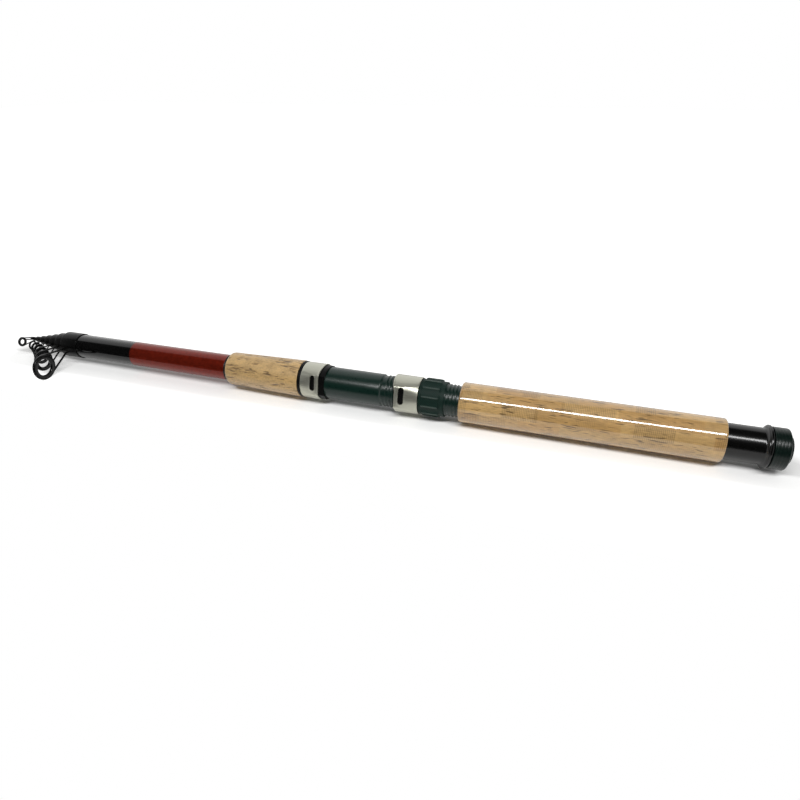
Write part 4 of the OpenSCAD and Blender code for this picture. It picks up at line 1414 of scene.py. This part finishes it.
class ROD_OT_tip_top(bpy.types.Operator):
    """Tip-top guide: tube, three wires and a small ring"""
    bl_idname = "rod.tip_top"
    bl_label = "Tip-top"

    def execute(self, context):
        coat = finish("Black baked wire coating")
        wires = wire_tree()
        front = stretch("tip_section")[1] + GLUE
        plane = front + TIP_AHEAD
        bend = front - TIP_BEND
        parts = [turned("tube", collar_outline(TIP, front), coat, 56)]
        tube_r = COLLAR_R[TIP]
        loop_r = TIP_RING_R - TIP_WIRE / 2 - WIRE_IN
        # Each wire's places (out, across) on the tube and on the ring
        ends = [((0, -tube_r), (TIP_REACH, -loop_r)), ((0, tube_r), (TIP_REACH, loop_r)),
                ((tube_r, 0), (TIP_REACH - loop_r, 0))]
        for n, (foot, top) in enumerate(ends):
            a = guide_point(bend - TIP_FOOT, *foot)
            b = guide_point(bend, *foot)
            c = guide_point(plane, *top)
            points = [a.lerp(b, k / 4) for k in range(3)]
            before = a.lerp(b, BEND_FROM)
            after = b.lerp(c, BEND_TO)
            for k in range(7):
                points.append(before.lerp(b, k / 6).lerp(b.lerp(after, k / 6), k / 6))
            points += [b.lerp(c, BEND_TO + (1 - BEND_TO) * k / 8) for k in range(1, 9)]
            parts.append(guide_wire(f"wire_{n}", wires, points, TIP_WIRE, 14, coat))
        half = TIP_RING_WIDTH / 2
        inner = TIP_RING_R - TIP_RING_FRAME
        centre = beside(plane, TIP_REACH)
        band = eased(both_sides(plane, [
            (half, inner, 0.05), (half, TIP_RING_R - 0.3, 0.2), (half * 0.4, TIP_RING_R, 0.25)]), 4)
        parts.append(turned("band", band, coat, 72, centre=centre))
        carried(joined("tip_top_wire", parts, coat, 38), "tip_section", "guide_metal", "tip_top_frame")
        outer = inner - GLUE
        outline = eased(both_sides(plane, [
            (half * 0.9, outer), (half, outer - 0.25, 0.15), (half, TIP_HOLE_R, half * 0.8)]), 6)
        liner = turned("tip_top_liner", outline, finish("Dark polished ceramic"), 72, centre=centre)
        carried(liner, "tip_section", "ring_liner", "tip_top_ring")
        return {"FINISHED"}


# Stage, in metres
FLOOR_Z = -0.01660
ROD_HALF = 0.294
# Corners of the white board; its front edge runs close to the rod, and beyond it the viewer's side is dark
BOARD = [(4, 4), (-4, 4), (-4, -0.058), (-0.25, -0.058), (-0.19, -0.1), (4, -0.1)]
# Camera: its place, and the directions to its right, up and back
EYE = Vector((-0.1319, -0.3618, 0.2029))
EYE_RIGHT = Vector((0.95244, 0.30432, -0.00263))
EYE_UP = Vector((-0.14414, 0.45962, 0.8763))
EYE_BACK = Vector((0.268, -0.8342, 0.4818))
# Strip lamp: its length and width, its place, the direction of its length and what it aims at
LAMP_LENGTH = 0.87
LAMP_WIDTH = 0.095
LAMP = Vector((-0.16, -0.495, 0.668))
LAMP_ALONG = Vector((1, 0.365, 0)).normalized()
LAMP_AIM = Vector((-0.16, 0, 0))
# Depth of the shadow in front of the cap, sleeve, rear grip, nut and hood, barrel, hood, fore grip and blank,
# by share of a length of 0.6 from the butt
SHADOW_LENGTH = 0.6
SHADOW = (
    (0, 0.012), (0.022, 0.012), (0.028, 0.01), (0.055, 0.01), (0.068, 0.0165), (0.333, 0.0165),
    (0.342, 0.014), (0.418, 0.014), (0.425, 0.01), (0.503, 0.01), (0.51, 0.014), (0.532, 0.014),
    (0.54, 0.0155), (0.635, 0.013), (0.65, 0.0065), (1, 0.0065))
# Light by share of the way from the viewer's side over the top to the back: what gloss mirrors,
# and what lights matt surfaces
CEILING = ((0, 0.03), (0.43, 0.03), (0.475, 0.85), (1, 1.3))
DOME = ((0, 0.17), (0.4, 0.35), (0.5, 1.85), (0.75, 1.85), (0.9, 0.5), (1, 0.35))


def greys(steps):
    """Ramp steps of grey from (position, level); a ramp keeps levels over 1."""
    return [(position, (level, level, level)) for position, level in steps]


def rays(tree):
    """The light path, and whether a ray comes off a gloss or clear surface."""
    ray = add(tree, "ShaderNodeLightPath").outputs
    gloss = add(tree, "ShaderNodeMath", {
        0: ray["Is Glossy Ray"], 1: ray["Is Transmission Ray"]}, operation="MAXIMUM")
    return ray, gloss


class ROD_OT_stage(bpy.types.Operator):
    """White floor, soft studio light and the camera"""
    bl_idname = "rod.stage"
    bl_label = "Stage"

    def execute(self, context):
        scene = context.scene
        stage = scene.rod_stage
        scene.view_settings.view_transform = "Standard"
        self.camera(scene)
        self.floor(scene, stage)
        self.world(scene, stage)
        self.lamp(scene, stage)
        return {"FINISHED"}

    def camera(self, scene):
        """Camera at the photograph's viewing angle."""
        lens = bpy.data.cameras.new("camera")
        lens.lens = 27
        lens.sensor_width = 36
        lens.clip_start = 0.01
        eye = bpy.data.objects.new("camera", lens)
        turn = Matrix((EYE_RIGHT, EYE_UP, EYE_BACK)).transposed().to_4x4()
        eye.matrix_world = Matrix.Translation(EYE) @ turn
        scene.collection.objects.link(eye)
        scene.camera = eye

    def floor(self, scene, stage):
        """White board that keeps the rod's shadow and meets the white of the room away from the rod."""
        made, tree, place = material("White matt board")
        # Faint mottle of 20 mm
        mottle = add(tree, "ShaderNodeTexNoise", {"Vector": place, "Scale": 1 / MM / 20, "Detail": 2.0})
        tone = add(tree, "ShaderNodeMapRange", {"Value": mottle, "To Min": 0.985, "To Max": 1.0})
        board = add(tree, "ShaderNodeVectorMath", {0: stage.floor_white, "Scale": tone}, operation="SCALE")
        matt = add(tree, "ShaderNodeBsdfDiffuse", {"Color": board})
        # Distance from the rod's line, beside the rod and past its ends
        axis = add(tree, "ShaderNodeSeparateXYZ", {"Vector": place}).outputs
        along = add(tree, "ShaderNodeMath", {0: axis["X"], 1: ROD_HALF}, operation="ADD")
        ends = add(tree, "ShaderNodeMath", {0: along}, operation="ABSOLUTE")
        past = add(tree, "ShaderNodeMath", {0: ends, 1: ROD_HALF}, operation="SUBTRACT")
        over = add(tree, "ShaderNodeMath", {0: past, 1: 0.0}, operation="MAXIMUM")
        spot = add(tree, "ShaderNodeCombineXYZ", {"X": over, "Y": axis["Y"]})
        off = add(tree, "ShaderNodeVectorMath", {0: spot}, operation="LENGTH").outputs["Value"]
        # The white that the camera adds starts clear of the shadow
        share = add(tree, "ShaderNodeMath", {0: axis["X"], 1: -1 / SHADOW_LENGTH}, operation="MULTIPLY")
        shaded = add(tree, "ShaderNodeValToRGB", {"Fac": share}, ramp=greys(SHADOW))
        past_shade = add(tree, "ShaderNodeMath", {0: axis["Y"], 1: shaded}, operation="ADD")
        front = add(tree, "ShaderNodeMapRange", {
            "Value": past_shade, "From Min": 0.0085, "From Max": 0.0115, "To Min": 0.22, "To Max": 0.0})
        side = add(tree, "ShaderNodeMapRange", {
            "Value": off, "From Min": 0.018, "From Max": 0.03, "To Max": 0.32})
        near = add(tree, "ShaderNodeMath", {0: front, 1: side}, operation="ADD")
        far = add(tree, "ShaderNodeMapRange", {
            "Value": off, "From Min": 0.03, "From Max": 0.2, "To Max": 0.6})
        # The lamp reaches the tip less, so more white is added there
        tipward = add(tree, "ShaderNodeMapRange", {
            "Value": axis["X"], "From Min": -0.56, "From Max": -0.4, "To Min": 1.4, "To Max": 1.0})
        all_white = add(tree, "ShaderNodeMath", {0: near, 1: tipward, 2: far}, operation="MULTIPLY_ADD")
        # Gloss surfaces see a glow on a narrow strip beside the rod that the camera and matt surfaces don't:
        # a painted reflection on the rod's undersides
        ray, gloss = rays(tree)
        clear = add(tree, "ShaderNodeMapRange", {
            "Value": off, "From Min": 0.005, "From Max": 0.011, "To Max": 0.3})
        fade = add(tree, "ShaderNodeMapRange", {
            "Value": off, "From Min": 0.012, "From Max": 0.03, "To Min": 0.3, "To Max": 0.0})
        strip = add(tree, "ShaderNodeMath", {0: clear, 1: fade}, operation="MINIMUM")
        mirrored = add(tree, "ShaderNodeMath", {0: strip, 1: gloss}, operation="MULTIPLY")
        seen = add(tree, "ShaderNodeMath", {
            0: all_white, 1: ray["Is Camera Ray"], 2: mirrored}, operation="MULTIPLY_ADD")
        white = add(tree, "ShaderNodeEmission", {"Color": (1, 1, 1, 1), "Strength": seen})
        both = add(tree, "ShaderNodeAddShader", {0: matt, 1: white})
        add(tree, "ShaderNodeOutputMaterial", {"Surface": both})
        mesh = bpy.data.meshes.new("floor")
        mesh.from_pydata([(x, y, FLOOR_Z) for x, y in BOARD], [], [tuple(range(len(BOARD)))])
        mesh.materials.append(made)
        piece = bpy.data.objects.new("floor", mesh)
        scene.collection.objects.link(piece)

    def world(self, scene, stage):
        """White room: even fill, a bright ceiling behind the rod and a dark side towards the viewer."""
        sky = bpy.data.worlds.new("studio")
        sky.use_nodes = True
        tree = sky.node_tree
        tree.nodes.clear()
        way = add(tree, "ShaderNodeTexCoord").outputs["Generated"]
        axis = add(tree, "ShaderNodeSeparateXYZ", {"Vector": way}).outputs
        front = add(tree, "ShaderNodeMath", {0: axis["Y"], 1: -1.0}, operation="MULTIPLY")
        turn = add(tree, "ShaderNodeMath", {0: axis["Z"], 1: front}, operation="ARCTAN2")
        share = add(tree, "ShaderNodeMath", {0: turn, 1: math.pi}, operation="DIVIDE", use_clamp=True)
        # The edge of the bright ceiling runs askew to the rod
        skew = add(tree, "ShaderNodeMath", {0: axis["X"], 1: -0.28, 2: -0.168}, operation="MULTIPLY_ADD")
        askew = add(tree, "ShaderNodeMath", {0: share, 1: skew}, operation="ADD", use_clamp=True)
        ceiling = add(tree, "ShaderNodeValToRGB", {"Fac": askew}, ramp=greys(CEILING))
        # Pale walls past both ends of the rod
        aside = add(tree, "ShaderNodeMath", {0: axis["X"]}, operation="ABSOLUTE")
        walls = add(tree, "ShaderNodeMapRange", {
            "Value": aside, "From Min": 0.72, "From Max": 0.9, "To Max": 0.9})
        mirrored = add(tree, "ShaderNodeMath", {0: ceiling, 1: walls}, operation="MAXIMUM")
        dome = add(tree, "ShaderNodeValToRGB", {"Fac": share}, ramp=greys(DOME))
        soft = add(tree, "ShaderNodeMath", {0: dome, 1: stage.fill}, operation="MULTIPLY")
        ray, gloss = rays(tree)
        lit = add(tree, "ShaderNodeMix", {0: gloss, 2: soft, 3: mirrored})
        seen = add(tree, "ShaderNodeMix", {0: ray["Is Camera Ray"], 2: lit, 3: 1.0})
        shine = add(tree, "ShaderNodeBackground", {"Color": (1, 1, 1, 1), "Strength": seen})
        add(tree, "ShaderNodeOutputWorld", {"Surface": shine})
        scene.world = sky

    def lamp(self, scene, stage):
        """Long strip lamp over the viewer's side, which draws the line of light on the grip."""
        strip = bpy.data.lights.new("strip", "AREA")
        strip.shape = "RECTANGLE"
        strip.size = LAMP_LENGTH
        strip.size_y = LAMP_WIDTH
        strip.energy = stage.lamp
        light = bpy.data.objects.new("strip", strip)
        light.visible_camera = False
        aim = LAMP_AIM - LAMP
        aim = (aim - LAMP_ALONG * aim.dot(LAMP_ALONG)).normalized()
        turn = Matrix((LAMP_ALONG, (-aim).cross(LAMP_ALONG), -aim)).transposed().to_4x4()
        light.matrix_world = Matrix.Translation(LAMP) @ turn
        scene.collection.objects.link(light)


OPERATORS = (
    ROD_OT_stage, ROD_OT_cork_grips, ROD_OT_blank, ROD_OT_reel_seat, ROD_OT_hoods, ROD_OT_lock_nut,
    ROD_OT_butt_end, ROD_OT_sections, ROD_OT_guides, ROD_OT_tip_top)


class ROD_PT_panel(bpy.types.Panel):
    """Lists the rod's sizes, colours and pieces"""
    bl_idname = "ROD_PT_panel"
    bl_label = "Telescopic rod"
    bl_space_type = "VIEW_3D"
    bl_region_type = "UI"
    bl_category = "Rod"

    def draw(self, context):
        column = self.layout.column()
        for group in (context.scene.rod_sizes, context.scene.rod_colours, context.scene.rod_stage):
            for key in group.bl_rna.properties.keys():
                if key not in ("rna_type", "name"):
                    column.prop(group, key)
            column.separator()
        for operator in OPERATORS:
            column.operator(operator.bl_idname)


CLASSES = (RodSizes, RodColours, RodStage, *OPERATORS, ROD_PT_panel)


def register():
    for each in CLASSES:
        bpy.utils.register_class(each)
    bpy.types.Scene.rod_sizes = PointerProperty(type=RodSizes)
    bpy.types.Scene.rod_colours = PointerProperty(type=RodColours)
    bpy.types.Scene.rod_stage = PointerProperty(type=RodStage)


def unregister():
    del bpy.types.Scene.rod_stage
    del bpy.types.Scene.rod_colours
    del bpy.types.Scene.rod_sizes
    for each in reversed(CLASSES):
        bpy.utils.unregister_class(each)


def main():
    register()
    bpy.ops.rod.stage()
    bpy.ops.rod.cork_grips()
    bpy.ops.rod.blank()
    bpy.ops.rod.reel_seat()
    bpy.ops.rod.hoods()
    bpy.ops.rod.lock_nut()
    bpy.ops.rod.butt_end()
    bpy.ops.rod.sections()
    bpy.ops.rod.guides()
    bpy.ops.rod.tip_top()
    bpy.context.view_layer.update()


if __name__ == "__main__":
    main()
